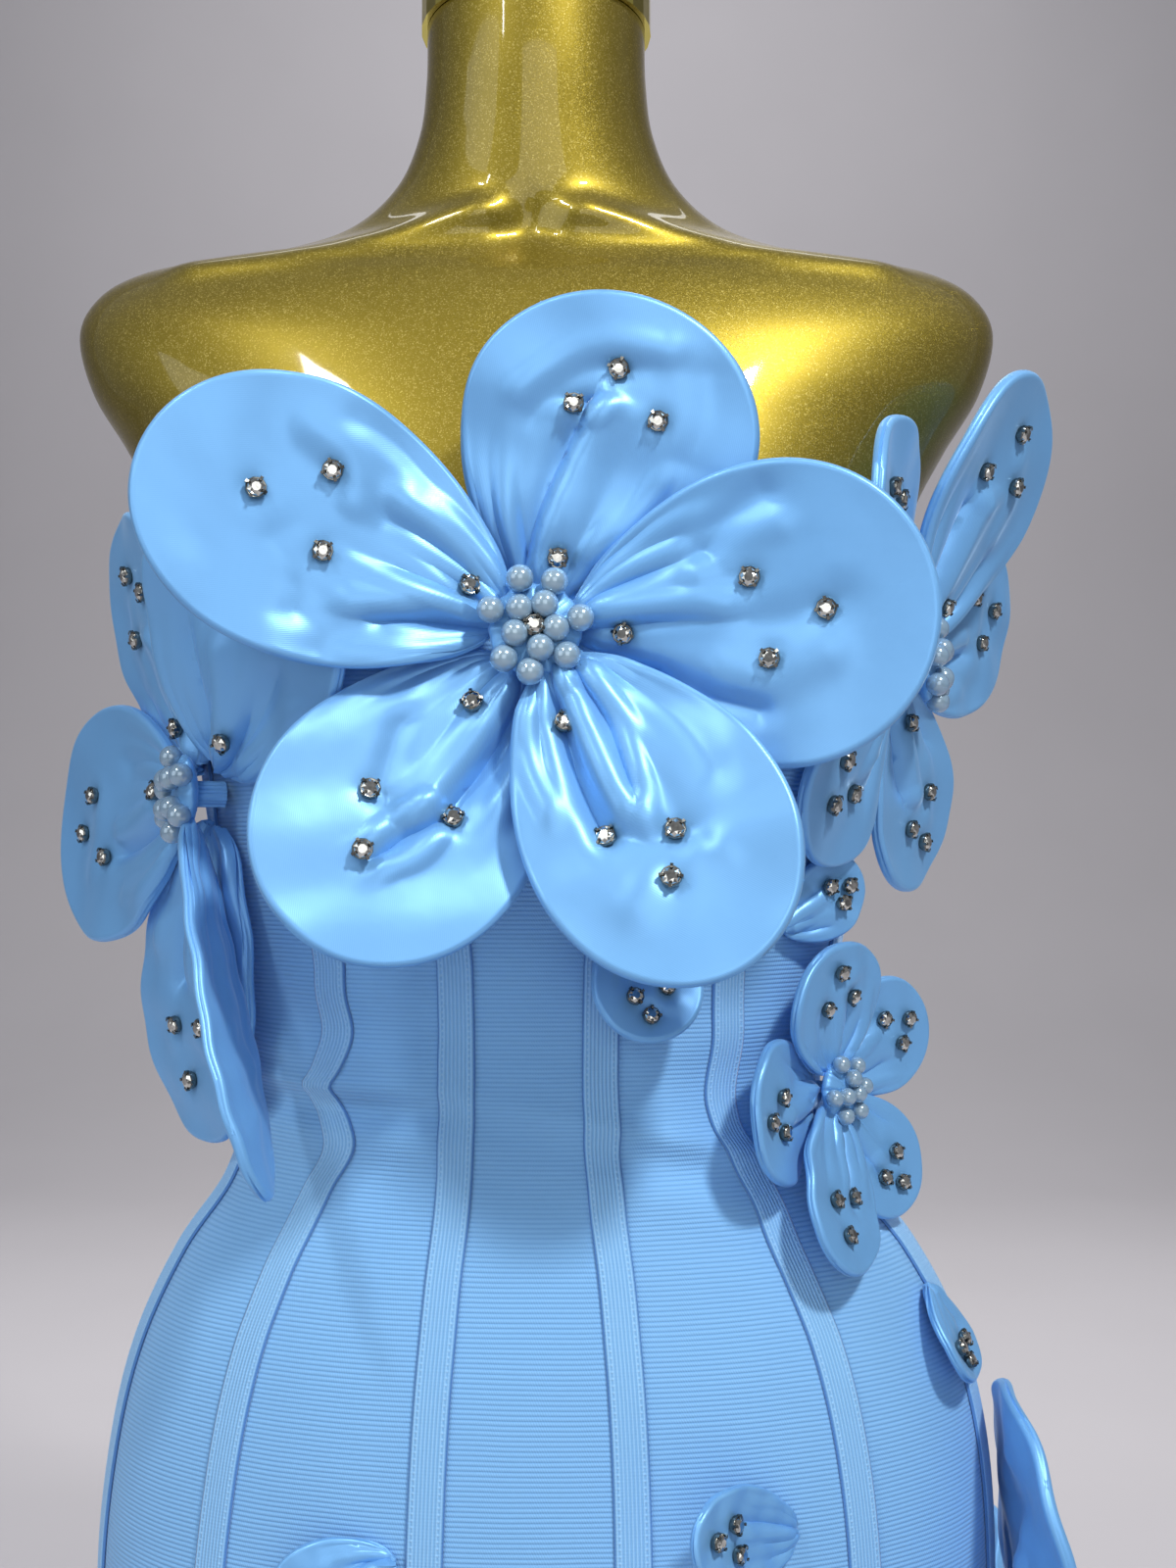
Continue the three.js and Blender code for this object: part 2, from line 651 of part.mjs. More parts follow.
// ---------------------------------------------------------------- the zip
function addZip() {
  const chain = ZIP_CHAIN_HALF_WIDTH;
  const places = [-ZIP_HALF_WIDTH, -chain - 0.2, -chain, chain, chain + 0.2, ZIP_HALF_WIDTH];
  const rows = range(ZIP_END_ROW, LAST_ROW);
  const layer = (offs) => {
    const offsets = places.map((at, k) => ({ at, off: offs[k] }));
    return overSeam(panelNamed('back_right'), panelNamed('back_left'), rows, offsets);
  };
  const thick = [ZIP_TAPE, ZIP_TAPE, ZIP_CHAIN, ZIP_CHAIN, ZIP_TAPE, ZIP_TAPE];
  const inner = layer(thick.map(() => GAP));
  const outer = layer(thick.map((wall) => GAP + wall));
  addPiece(dress, 'zip', wallGeometry(inner, outer), tape);

  const seat = formSpot(1, SLIDER.z);
  const back = seat.point.clone().addScaledVector(seat.out, CLEARANCE + KNIT + GAP + ZIP_CHAIN + GAP);
  const slider = new THREE.Group();
  slider.position.copy(back).setX(0);
  dress.add(slider);

  const body = new THREE.BoxGeometry(SLIDER.width, SLIDER.thick, SLIDER.length);
  body.translate(0, SLIDER.thick / 2, 0);
  const pieces = [body];
  for (const side of [-1, 1]) {
    const lug = new THREE.BoxGeometry(LUG.thick, LUG.height + SLIDER.thick / 2, LUG.length);
    const lugMiddle = SLIDER.thick / 2 + (LUG.height + SLIDER.thick / 2) / 2;
    lug.translate(side * (LUG.inner + LUG.thick / 2), lugMiddle, 0);
    pieces.push(lug);
  }
  const pinY = SLIDER.thick + PIN.height;
  const pin = new THREE.CylinderGeometry(PIN.radius, PIN.radius, 2 * (LUG.inner + LUG.thick / 2), 12);
  pin.rotateZ(Math.PI / 2);
  pin.translate(0, pinY, 0);
  pieces.push(pin);
  addPiece(slider, 'zip_slider', joined(pieces), steel);

  const eyeShape = new THREE.Shape().absarc(0, 0, PULL.eyeOuter, 0, 2 * Math.PI);
  eyeShape.holes.push(new THREE.Path().absarc(0, 0, PULL.eyeInner, 0, 2 * Math.PI, true));
  const eye = new THREE.ExtrudeGeometry(eyeShape, {
    depth: 2 * PULL.eyeHalf,
    bevelEnabled: false,
    curveSegments: 10,
  });
  eye.translate(0, 0, -PULL.eyeHalf);
  eye.rotateY(Math.PI / 2);
  const plateTop = -(PULL.eyeInner + PULL.eyeOuter) / 2;
  const plate = new THREE.Shape();
  plate.moveTo(-PULL.eyeHalf, plateTop);
  plate.lineTo(-PULL.halfWidth, plateTop - 8);
  plate.lineTo(-PULL.halfWidth, -PULL.length + PULL.halfWidth);
  plate.absarc(0, -PULL.length + PULL.halfWidth, PULL.halfWidth, Math.PI, 2 * Math.PI);
  plate.lineTo(PULL.halfWidth, plateTop - 8);
  plate.lineTo(PULL.eyeHalf, plateTop);
  plate.closePath();
  plate.holes.push(new THREE.Path().absarc(0, -PULL.length + PULL.halfWidth, 1.6, 0, 2 * Math.PI, true));
  const bladeSize = { depth: PULL.thick, bevelEnabled: false, curveSegments: 6 };
  const blade = new THREE.ExtrudeGeometry(plate, bladeSize);
  blade.translate(0, 0, -PULL.thick / 2);
  blade.rotateX(Math.PI / 2);
  const pull = addPiece(slider, 'zip_pull', joined([eye, blade]), steel);
  pull.position.set(0, pinY, 0);
}

// ---------------------------------------------------------------- petals
const PETAL_WAIST = 0.58; // share of the length where a petal is widest
const PETAL_ROUND = 0.7; // how quickly it spreads from its root
const PETAL_ROOT = 0.14; // the gathered root's share of the width
const GATHER_REACH = 0.42; // how far along the gathers die away
const PLEATS = 3; // half waves of gathering either side of a petal's middle
const GATHER_SHARE = 0.02; // the gathers' height, as a share of the width

// A petal's flat outline as a grid: r runs from root to tip and c from side to side.
function petalOutline(r, c) {
  if (r <= PETAL_WAIST) {
    const spread = Math.sin((Math.PI / 2) * (r / PETAL_WAIST)) ** PETAL_ROUND;
    return { across: c * (PETAL_ROOT + (1 - PETAL_ROOT) * spread), along: r };
  }
  const q = (r - PETAL_WAIST) / (1 - PETAL_WAIST);
  const along = PETAL_WAIST + (1 - PETAL_WAIST) * q * Math.sqrt(1 - (c * c) / 2);
  return { across: c * Math.sqrt(1 - (q * q) / 2), along };
}

// The petal's middle surface: bent along its length, cupped across, gathered at its root.
function petalPoint(petal, r, c) {
  const { across, along } = petalOutline(r, c);
  const start = radians(petal.rise);
  const turn = radians(petal.curl) || 1e-6;
  const angle = start + turn * along;
  const y = (petal.length * (Math.sin(angle) - Math.sin(start))) / turn;
  const z = (-petal.length * (Math.cos(angle) - Math.cos(start))) / turn;
  const bend = radians(petal.cup) * Math.min(1, along / PETAL_WAIST);
  const half = petal.width / 2;
  const x = bend > 1e-3 ? (half * Math.sin(bend * across)) / bend : half * across;
  const cupped = bend > 1e-3 ? (half * (1 - Math.cos(bend * across))) / bend : 0;
  const gather = GATHER_SHARE * petal.width * bell(along, GATHER_REACH) * Math.cos(PLEATS * Math.PI * c);
  const lift = cupped + gather;
  return new THREE.Vector3(x, y - lift * Math.sin(angle), z + lift * Math.cos(angle));
}

const PETAL_STEP = 0.02;
const PETAL_LINES = 4; // rows of cells from root to tip
const PETAL_LANES = 6; // and across
function petalGeometry(petal) {
  const layer = (off) =>
    range(0, PETAL_LINES).map((i) =>
      range(0, PETAL_LANES).map((j) => {
        const r = i / PETAL_LINES;
        const c = (2 * j) / PETAL_LANES - 1;
        const before = petalPoint(petal, Math.max(0, r - PETAL_STEP), c);
        const along = petalPoint(petal, r + PETAL_STEP, c).sub(before);
        const across = petalPoint(petal, r, c + PETAL_STEP).sub(petalPoint(petal, r, c - PETAL_STEP));
        const out = across.cross(along).normalize();
        return petalPoint(petal, r, c).addScaledVector(out, off);
      }),
    );
  return wallGeometry(layer(-SATIN / 2), layer(SATIN / 2));
}

function facing(yaw, pitch) {
  const turn = radians(yaw);
  const tilt = radians(pitch);
  return new THREE.Vector3(
    Math.sin(turn) * Math.cos(tilt),
    -Math.cos(turn) * Math.cos(tilt),
    Math.sin(tilt),
  );
}

// A group at a place on the cloth, with its own +Z facing outwards and its +Y upwards. The turn is
// added to the way it faces, and doesn't move it.
function placedGroup(place, turn = 0) {
  const out = facing(place.yaw + turn, place.pitch);
  const up = new THREE.Vector3(0, 0, 1).addScaledVector(out, -out.z).normalize();
  const right = up.clone().cross(out);
  const group = new THREE.Group();
  group.quaternion.setFromRotationMatrix(new THREE.Matrix4().makeBasis(right, up, out));
  group.position
    .copy(clothPoint(place.share, place.z, KNIT + GAP + SATIN / 2))
    .addScaledVector(facing(place.yaw, place.pitch), place.off);
  dress.add(group);
  return group;
}

function addPetal(place, name, petal, rootRadius) {
  const mesh = addPiece(placedGroup(place, petal.turn), name, petalGeometry(petal), satin);
  const azimuth = radians(petal.azimuth);
  mesh.rotation.order = 'ZYX';
  mesh.rotation.set(0, radians(petal.spin), azimuth - Math.PI / 2);
  mesh.position.set(rootRadius * Math.cos(azimuth), rootRadius * Math.sin(azimuth), petal.level);
}

const ROOT_GAP = 0.92; // from the pad to the middle of a petal's thickness
function addFlowers() {
  for (const flower of FLOWERS) {
    PETALS[flower.name].forEach((petal, k) => {
      addPetal(flower, `${flower.name}_petal_${k + 1}`, petal, flower.pad + ROOT_GAP);
    });
    addPearls(flower);
  }
}

// The pearls of a flower: two rings of beads on the round pad that its petals are sewn to.
const PEARL_RINGS = [
  { name: 'inner', radius: 1.85, shift: 0.35 }, // in pearl radii, and in shares of a bead's step
  { name: 'outer', radius: 3.7, shift: 0.85 },
];
const SMALL_FLOWER = 0.8; // the size of a small flower's pearls
const PAD_EDGE = 1.2; // the thickness of the pad's wider face
const BEAD_SINK = 0.6; // a bead's middle above that face, in its own radii
function addPearls(flower) {
  const scale = flower.inner > 3 ? 1 : SMALL_FLOWER;
  const size = scale * PEARL_RADIUS;
  const top = flower.face + PAD_EDGE;
  const rim = PEARL_RINGS[1].radius * size * scale + PAD_EDGE;
  const outline = [
    new THREE.Vector2(0, -flower.shank),
    new THREE.Vector2(flower.pad, -flower.shank),
    new THREE.Vector2(flower.pad, flower.face),
    new THREE.Vector2(rim, flower.face),
    new THREE.Vector2(rim, top),
    new THREE.Vector2(0, top),
  ];
  const pad = new THREE.LatheGeometry(outline, 16);
  pad.rotateX(Math.PI / 2);
  const pieces = [pad];
  for (const ring of PEARL_RINGS) {
    const radius = ring.radius * size * scale;
    for (let k = 0; k < flower[ring.name]; k += 1) {
      const angle = (2 * Math.PI * (k + ring.shift)) / flower[ring.name];
      const bead = new THREE.IcosahedronGeometry(size, 0);
      bead.translate(radius * Math.cos(angle), radius * Math.sin(angle), top + BEAD_SINK * size);
      pieces.push(bead);
    }
  }
  addPiece(placedGroup(flower), `${flower.name}_pearls`, joined(pieces), pearl);
}

function addLoosePetals() {
  LOOSE_PETALS.forEach((place, k) => {
    addPetal(place, `loose_petal_${k + 1}`, place, 0);
  });
}

addPanels();
addForm();
addStrips();
addBands();
addZip();
addFlowers();
addLoosePetals();

export default dress;
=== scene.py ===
"""Looks of a strapless knit mini dress with satin flowers, on a limbless torso form.

Sizes are millimetres until add_mesh turns them into metres. +Z is up, -Y is the front, and right is +X.
The form, the seams, the flowers and the petals repeat the sizes of the CAD part.
"""

import math
from types import SimpleNamespace as Sizes

import bpy
import numpy as np
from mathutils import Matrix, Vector


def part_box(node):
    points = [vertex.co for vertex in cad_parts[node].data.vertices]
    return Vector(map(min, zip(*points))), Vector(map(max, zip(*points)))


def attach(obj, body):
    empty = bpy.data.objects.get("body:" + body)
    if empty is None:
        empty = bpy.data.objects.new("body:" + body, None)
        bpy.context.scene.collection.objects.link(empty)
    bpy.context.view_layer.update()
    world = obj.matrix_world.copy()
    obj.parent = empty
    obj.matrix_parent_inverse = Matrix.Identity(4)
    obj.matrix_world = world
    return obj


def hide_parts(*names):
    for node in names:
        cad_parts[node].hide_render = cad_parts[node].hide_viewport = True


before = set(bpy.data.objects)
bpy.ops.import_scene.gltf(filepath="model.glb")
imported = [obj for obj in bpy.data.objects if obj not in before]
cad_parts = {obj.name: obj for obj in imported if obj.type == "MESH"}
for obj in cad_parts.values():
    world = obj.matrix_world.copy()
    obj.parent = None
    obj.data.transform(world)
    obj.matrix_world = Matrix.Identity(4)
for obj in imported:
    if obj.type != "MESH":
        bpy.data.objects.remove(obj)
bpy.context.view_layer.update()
MM = 0.001

# --- camera
EYE = (21, -680, 571)
LOOK_UP = 2.5
VIEW_ANGLE = 50.0  # up and down the picture


def add_camera():
    data = bpy.data.cameras.new("camera")
    data.sensor_width = 36
    data.lens = 18 / math.tan(math.radians(VIEW_ANGLE / 2))
    data.clip_end = 20
    camera = bpy.data.objects.new("camera", data)
    camera.location = Vector(EYE) * MM
    camera.rotation_euler = (math.radians(90 + LOOK_UP), 0, 0)
    bpy.context.scene.collection.objects.link(camera)
    bpy.context.scene.camera = camera


add_camera()

# --- sizes shared with the CAD
CLEARANCE = 1.0
KNIT = 1.6
STRIP_WALL = 1.2
STRIP_WIDTH = 13
BAND_HEIGHT = 14
GAP = 0.3
HEM_Z = 55
SATIN = 2.4

# Each row gives a section's side_z, side_x, front_z, front_y, back_z, back_y, mid_x, mid_y and squareness.
FORM_ROWS = np.array([
    [0, 136, 0, -82, 0, 92, 3, 2, 2.2],
    [10, 142, 10, -88, 10, 98, 3, 2, 2.2],
    [60, 150, 60, -92, 60, 104, 4, 2, 2.2],
    [150, 161, 150, -96, 150, 111, 5, 2, 2.2],
    [230, 169, 230, -98, 230, 116, 5, 2, 2.15],
    [295, 172, 295, -99, 295, 117, 5, 2, 2.1],
    [345, 169, 345, -97, 345, 113, 6, 2, 2.1],
    [385, 160, 385, -93, 385, 105, 6, 1, 2.1],
    [420, 143, 420, -87, 420, 93, 5, 0, 2.1],
    [448, 122, 448, -82, 448, 82, 3, 0, 2.1],
    [478, 111, 478, -79, 478, 74, 0, 0, 2.1],
    [508, 114, 508, -81, 508, 75, 0, 0, 2.1],
    [545, 121, 545, -86, 545, 80, 0, 0, 2.1],
    [590, 128, 590, -93, 590, 87, 0, 0, 2.1],
    [635, 135, 635, -98, 635, 92, 0, 0, 2.1],
    [675, 143, 675, -98, 675, 94, 0, 2, 2.15],
    [708, 152, 708, -92, 708, 92, 0, 4, 2.2],
    [735, 166, 732, -85, 738, 90, 0, 7, 2.2],
    [760, 181, 751, -78, 762, 87, 0, 8, 2.2],
    [786, 187.5, 768, -71, 785, 82, 0, 9, 2.2],
    [803, 180, 782, -64, 802, 76, 0, 10, 2.2],
    [813, 163, 792, -58, 815, 69, 0, 10, 2.2],
    [818, 138, 799, -53, 825, 62, 0, 9, 2.15],
    [822, 104, 805, -50, 835, 54, 0, 6, 2.1],
    [830, 76, 813, -48, 846, 46, 0, 2, 2.05],
    [845, 57, 827, -48, 859, 40, 0, -3, 2],
    [864, 47.5, 850, -50, 872, 36, 0, -7, 2],
    [884, 44.5, 876, -53, 888, 34, 0, -9, 2],
    [904, 44, 904, -55, 904, 34, 0, -10.5, 2],
])
ARMPIT_ROW = 16
BUST = Sizes(x=68, z=636, spread_x=42, spread_z=46, depth=14)


def table(columns, rows):
    """Gives the values of every row their names."""
    return [Sizes(**dict(zip(columns, row))) for row in rows]


SEAM_Z = [55, 290, 400, 478, 530, 600, 710]
SEAMS = {
    "s1": [0.086, 0.079, 0.08, 0.084, 0.08, 0.088, 0.1],
    "s2": [0.268, 0.264, 0.258, 0.245, 0.228, 0.232, 0.25],
    "s3": [0.43, 0.43, 0.425, 0.42, 0.415, 0.41, 0.41],
    "s4": [0.72, 0.72, 0.72, 0.72, 0.715, 0.71, 0.71],
    "end": [1, 1, 1, 1, 1, 1, 1],
}
SEAM_WAVES = table(("side", "seam", "z", "reach", "shift"), [
    (-1, "s2", 505, 11, -3),
    (-1, "s2", 485, 9, 5),
    (-1, "s2", 466, 11, -7),
    (1, "s2", 480, 16, -3),
    (1, "s2", 448, 14, 3),
])
FOLD_COLUMNS = ("start", "start_z", "end", "end_z", "reach", "depth")
FOLDS = table(FOLD_COLUMNS, [
    (-0.42, 503, -0.06, 495, 9, 4),
    (-0.06, 494, 0.3, 466, 10, 2.2),
    (-0.4, 470, -0.04, 470, 8, 2.6),
    (0.02, 458, 0.34, 436, 10, 1.6),
    (0.5, 490, 0.9, 474, 10, 2.4),
    (-0.92, 492, -0.55, 480, 10, 2.6),
])
TOP = Sizes(front=694, side=690, back=680)

PANELS = table(("name", "left_side", "left_seam", "right_side", "right_seam"), [
    ("centre_front", -1, "s1", 1, "s1"),
    ("front_side_right", 1, "s1", 1, "s2"),
    ("side_front_right", 1, "s2", 1, "s3"),
    ("side_back_right", 1, "s3", 1, "s4"),
    ("back_right", 1, "s4", 1, "end"),
    ("back_left", -1, "end", -1, "s4"),
    ("side_back_left", -1, "s4", -1, "s3"),
    ("side_front_left", -1, "s3", -1, "s2"),
    ("front_side_left", -1, "s2", -1, "s1"),
])

FLOWERS = table(("name", "share", "z", "off", "yaw", "pitch", "pad", "face", "beads"), [
    ("bust", 0.01, 646, 4, 0, 4, 12, 15.5, "large"),
    ("left", -0.35, 595, 5, -65, 0, 11, 13, "middle"),
    ("right", 0.42, 645, 5, 78, 0, 11, 14.8, "middle"),
    ("waist", 0.385, 484, 8, 46, 2, 6, 9.8, "small"),
    ("hip", 0.44, 245, 8, 80, 0, 11, 15, "middle"),
])
PETAL_COLUMNS = ("azimuth", "rise", "curl", "cup", "spin", "level", "length", "width")
PETALS = {
    "bust": table(PETAL_COLUMNS, [
        (156, 13, 2, 10, 0, 8, 130, 92),
        (70, 12, 3, 6, 0, 0, 107, 102),
        (4, 12, 2, 8, 8, 5.5, 122, 102),
        (-60, 13, 2, 10, 0, 11, 122, 88),
        (-125, 12, 4, 6, 0, 0, 118, 94),
    ]),
    "left": table(PETAL_COLUMNS, [
        (52, 4, -14, 10, 32, -1, 110, 98),
        (121, 9, 4, 8, 0, 3, 116, 76),
        (187, 9, 8, 10, 0, 9, 118, 96),
        (-61, -4, 0, 6, 30, 9, 145, 55),
        (-108, 1, -7, 6, -17, 0, 128, 82),
    ]),
    "right": table(PETAL_COLUMNS, [
        (74, 24, 6, 10, -15, 8.4, 112, 88),
        (145, 2, -5, 8, -9, 0, 100, 80),
        (20, 19, 4, 8, 0, 5.2, 114, 78),
        (-135, -10, -20, 8, 0, -2, 84, 76),
        (-54, 3, 8, 8, 20, 0.4, 86, 74),
    ]),
    "waist": table(PETAL_COLUMNS, [
        (103, 11, 4, 10, 0, 5, 50, 56),
        (30, 10, 8, 8, 0, 0, 52, 46),
        (-53, 10, 6, 8, -2, 2.8, 52, 44),
        (-115, 17, 6, 8, 0, 6.2, 64, 45),
        (187, 12, 6, 8, 0, 0, 56, 52),
    ]),
    "hip": table(PETAL_COLUMNS, [
        (100, -5, 0, 10, 10, 9, 118, 100),
        (172, 8, 2, 6, 0, 0, 116, 98),
        (-2, -4, 2, 6, 0, 0, 116, 98),
        (-60, 10, 2, 10, 0, 10, 118, 100),
        (-122, 8, 0, 8, -6, 5, 116, 96),
    ]),
}
LOOSE_PETALS = table(("share", "z", "off", "yaw", "pitch") + PETAL_COLUMNS, [
    (0.285, 546, 1.4, 44, 0, 28, 10, 4, 14, 0, 0, 42, 32),
    (0.118, 552, 0.8, 12, 0, -90, 16, 6, 14, 0, 0, 46, 40),
    (0.4, 408, 1.8, 66, 20, -96, 6, 4, 14, 0, 0, 38, 36),
    (0.205, 338, 0.35, 28, 10, 170, 16, 8, 14, 0, 0, 58, 34),
    (-0.1, 331, 0.5, -14, 10, 205, 16, 8, 14, 0, 0, 46, 36),
])
PETAL_WAIST = 0.58
PETAL_ROUND = 0.7
PETAL_ROOT = 0.14
ROOT_GAP = 0.92

# --- the form's surface


def bell(distance, reach):
    return np.exp(-((distance / reach) ** 2))


def form_row(place):
    """Sizes of the section at a fractional place in the form's table, run smoothly through its rows."""
    place = np.asarray(place, float)
    i = np.clip(np.floor(place).astype(int), 0, len(FORM_ROWS) - 2)
    f = (place - i)[..., None]
    a, b, c, d = (FORM_ROWS[np.clip(i + k, 0, len(FORM_ROWS) - 1)] for k in (-1, 0, 1, 2))
    slope_in, slope_out = (c - a) / 2, (d - b) / 2
    f2, f3 = f * f, f ** 3
    slopes = slope_in * (f3 - 2 * f2 + f) + slope_out * (f3 - f2)
    return b * (2 * f3 - 3 * f2 + 1) + c * (3 * f2 - 2 * f3) + slopes


def section_point(row, angle):
    """Points of sections; the angle is 0 at the front and grows towards +X."""
    side_z, side_x, front_z, front_y, back_z, back_y, mid_x, mid_y, square = np.moveaxis(row, -1, 0)
    power = 2 / square
    sine, cosine = np.sin(angle), np.cos(angle)
    across = np.sign(sine) * np.abs(sine) ** power
    along = np.abs(cosine) ** power
    in_front = cosine >= 0
    x = mid_x + side_x * across
    z = side_z + (np.where(in_front, front_z, back_z) - side_z) * along
    y = mid_y + (np.where(in_front, front_y, back_y) - mid_y) * along
    bust = BUST.depth * bell(np.abs(x) - BUST.x, BUST.spread_x) * bell(z - BUST.z, BUST.spread_z)
    y = y - np.where(in_front, bust * along, 0)
    return np.stack(np.broadcast_arrays(x, y, z), -1)


LEVEL_PLACES = np.linspace(0, ARMPIT_ROW, 3201)
LEVEL_Z = form_row(LEVEL_PLACES)[:, 0]


def level_row(z):
    return form_row(np.interp(z, LEVEL_Z, LEVEL_PLACES))


# The angle round a section for every share of the way from centre front to centre back, by height.
ARC_Z = np.arange(0, 711, 3.0)
ARC_SHARES = np.linspace(0, 1, 241)


def arc_table(side):
    row = level_row(ARC_Z)
    lean = -row[:, 6] / row[:, 1]
    start = np.arcsin(np.sign(lean) * np.abs(lean) ** (row[:, 8] / 2))
    sweep = np.pi - 2 * start if side > 0 else -(np.pi + 2 * start)
    angles = start[:, None] + sweep[:, None] * ARC_SHARES
    steps = np.linalg.norm(np.diff(section_point(row[:, None, :], angles), axis=1), axis=2)
    lengths = np.concatenate([np.zeros((len(ARC_Z), 1)), np.cumsum(steps, axis=1)], axis=1)
    total = lengths[:, -1]
    rows = zip(total, lengths, angles)
    return np.stack([np.interp(ARC_SHARES * whole, along, turn) for whole, along, turn in rows]), total


ARCS = {side: arc_table(side) for side in (-1, 1)}


def share_angle(share, z):
    share, z = np.broadcast_arrays(np.asarray(share, float), np.asarray(z, float))
    level = np.clip((z - ARC_Z[0]) / (ARC_Z[1] - ARC_Z[0]), 0, len(ARC_Z) - 1.001)
    place = np.clip(np.abs(share) * (len(ARC_SHARES) - 1), 0, len(ARC_SHARES) - 1.001)
    k, i = level.astype(int), place.astype(int)
    up, on = level - k, place - i
    result = np.zeros(share.shape)
    for side, (angles, _) in ARCS.items():
        low = angles[k, i] * (1 - on) + angles[k, i + 1] * on
        high = angles[k + 1, i] * (1 - on) + angles[k + 1, i + 1] * on
        result = np.where((share < 0) == (side < 0), low * (1 - up) + high * up, result)
    return result


def side_total(side, z):
    return np.interp(z, ARC_Z, ARCS[side][1])


def fold_depth(share, z, folds):
    depth = np.zeros(np.broadcast(share, z).shape)
    for fold in folds:
        f = (share - fold.start) / (fold.end - fold.start)
        inside = np.clip(f, 0, 1)
        ridge = fold.start_z + (fold.end_z - fold.start_z) * inside
        depth += fold.depth * np.sin(np.pi * inside) ** 0.7 * bell(z - ridge, fold.reach)
    return depth


# How far either side of a point on the form its normal is measured: radians and mm.
NORMAL_TURN = 0.02
NORMAL_RISE = 2


def form_spot(share, z):
    """Points on the form and the way out of its surface there."""
    angle = share_angle(share, z)
    row = level_row(z)
    around = section_point(row, angle + NORMAL_TURN) - section_point(row, angle - NORMAL_TURN)
    up = section_point(level_row(z + NORMAL_RISE), angle) - section_point(level_row(z - NORMAL_RISE), angle)
    return section_point(row, angle), unit(np.cross(around, up))


def unit(vectors):
    return vectors / np.linalg.norm(vectors, axis=-1, keepdims=True)


def top_height(share):
    away = np.abs(share)
    end = np.where(away < 0.5, TOP.front, TOP.back)
    return TOP.side + (end - TOP.side) * np.cos(np.pi * away) ** 2


def seam_share(side, seam, z):
    share = np.interp(z, SEAM_Z, SEAMS[seam])
    for wave in SEAM_WAVES:
        if wave.side == side and wave.seam == seam:
            share = share + wave.shift / side_total(side, z) * bell(z - wave.z, wave.reach)
    return side * share


# --- meshes


def add_mesh(name, points, faces, material, uv=None, flat=False, sharp=None):
    """A mesh object from points in mm and arrays of faces. uv gives each point's place on the cloth."""
    mesh = bpy.data.meshes.new(name)
    faces = [face for part in faces for face in part.tolist()]
    mesh.from_pydata((points * MM).tolist(), [], faces)
    mesh.polygons.foreach_set("use_smooth", [not flat] * len(faces))
    if uv is not None:
        layer = mesh.uv_layers.new(name="cloth")
        layer.data.foreach_set("uv", uv[np.concatenate(faces)].ravel().astype(np.float32))
    mesh.validate()
    if sharp:
        mesh.set_sharp_from_angle(angle=math.radians(sharp))
    piece = bpy.data.objects.new(name, mesh)
    mesh.materials.append(material)
    bpy.context.scene.collection.objects.link(piece)
    return piece


def grid_faces(rows, columns, start=0, flip=False):
    r, c = np.meshgrid(np.arange(rows - 1), np.arange(columns - 1), indexing="ij")
    a = start + r * columns + c
    quads = np.stack([a, a + 1, a + columns + 1, a + columns], -1).reshape(-1, 4)
    return quads[:, ::-1] if flip else quads


def rim_faces(rows, columns, start_in, start_out):
    """Faces that close a wall all round between its inner and outer grid."""
    index = np.arange(rows * columns).reshape(rows, columns)
    loop = np.concatenate([index[0, :-1], index[:-1, -1], index[-1, :0:-1], index[:0:-1, 0]])
    after = np.roll(loop, -1)
    return np.stack([start_in + loop, start_in + after, start_out + after, start_out + loop], -1)


def wall(name, inner, outer, material, uv, sharp=None):
    rows, columns = outer.shape[:2]
    count = rows * columns
    points = np.concatenate([outer.reshape(-1, 3), inner.reshape(-1, 3)])
    behind = grid_faces(rows, columns, count, flip=True)
    faces = [grid_faces(rows, columns), behind, rim_faces(rows, columns, count, 0)]
    uv = np.concatenate([uv.reshape(-1, 2)] * 2)
    return add_mesh(name, points, faces, material, uv, sharp=sharp)


def circle(radius, z, steps, turn=0.0):
    """Points of a level circle. Its radius and height may vary round it."""
    angle = 2 * np.pi * (np.arange(steps) + turn) / steps
    return np.stack(np.broadcast_arrays(radius * np.cos(angle), radius * np.sin(angle), z), -1)


def ring_faces(rings, flip=False):
    """Faces between rows of point numbers that close on themselves."""
    after = np.roll(rings, -1, axis=1)
    quads = np.stack([rings[:-1], after[:-1], after[1:], rings[1:]], -1).reshape(-1, 4)
    return quads[:, ::-1] if flip else quads


def fan_faces(tip, ring, flip=False):
    """Triangles from one point to a ring of points."""
    triangles = np.stack([np.full(len(ring), tip), ring, np.roll(ring, -1)], -1)
    return triangles[:, ::-1] if flip else triangles


def finish_piece(piece, slot, *replaced):
    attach(piece, "root")
    if replaced:
        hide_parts(*replaced)


# --- materials


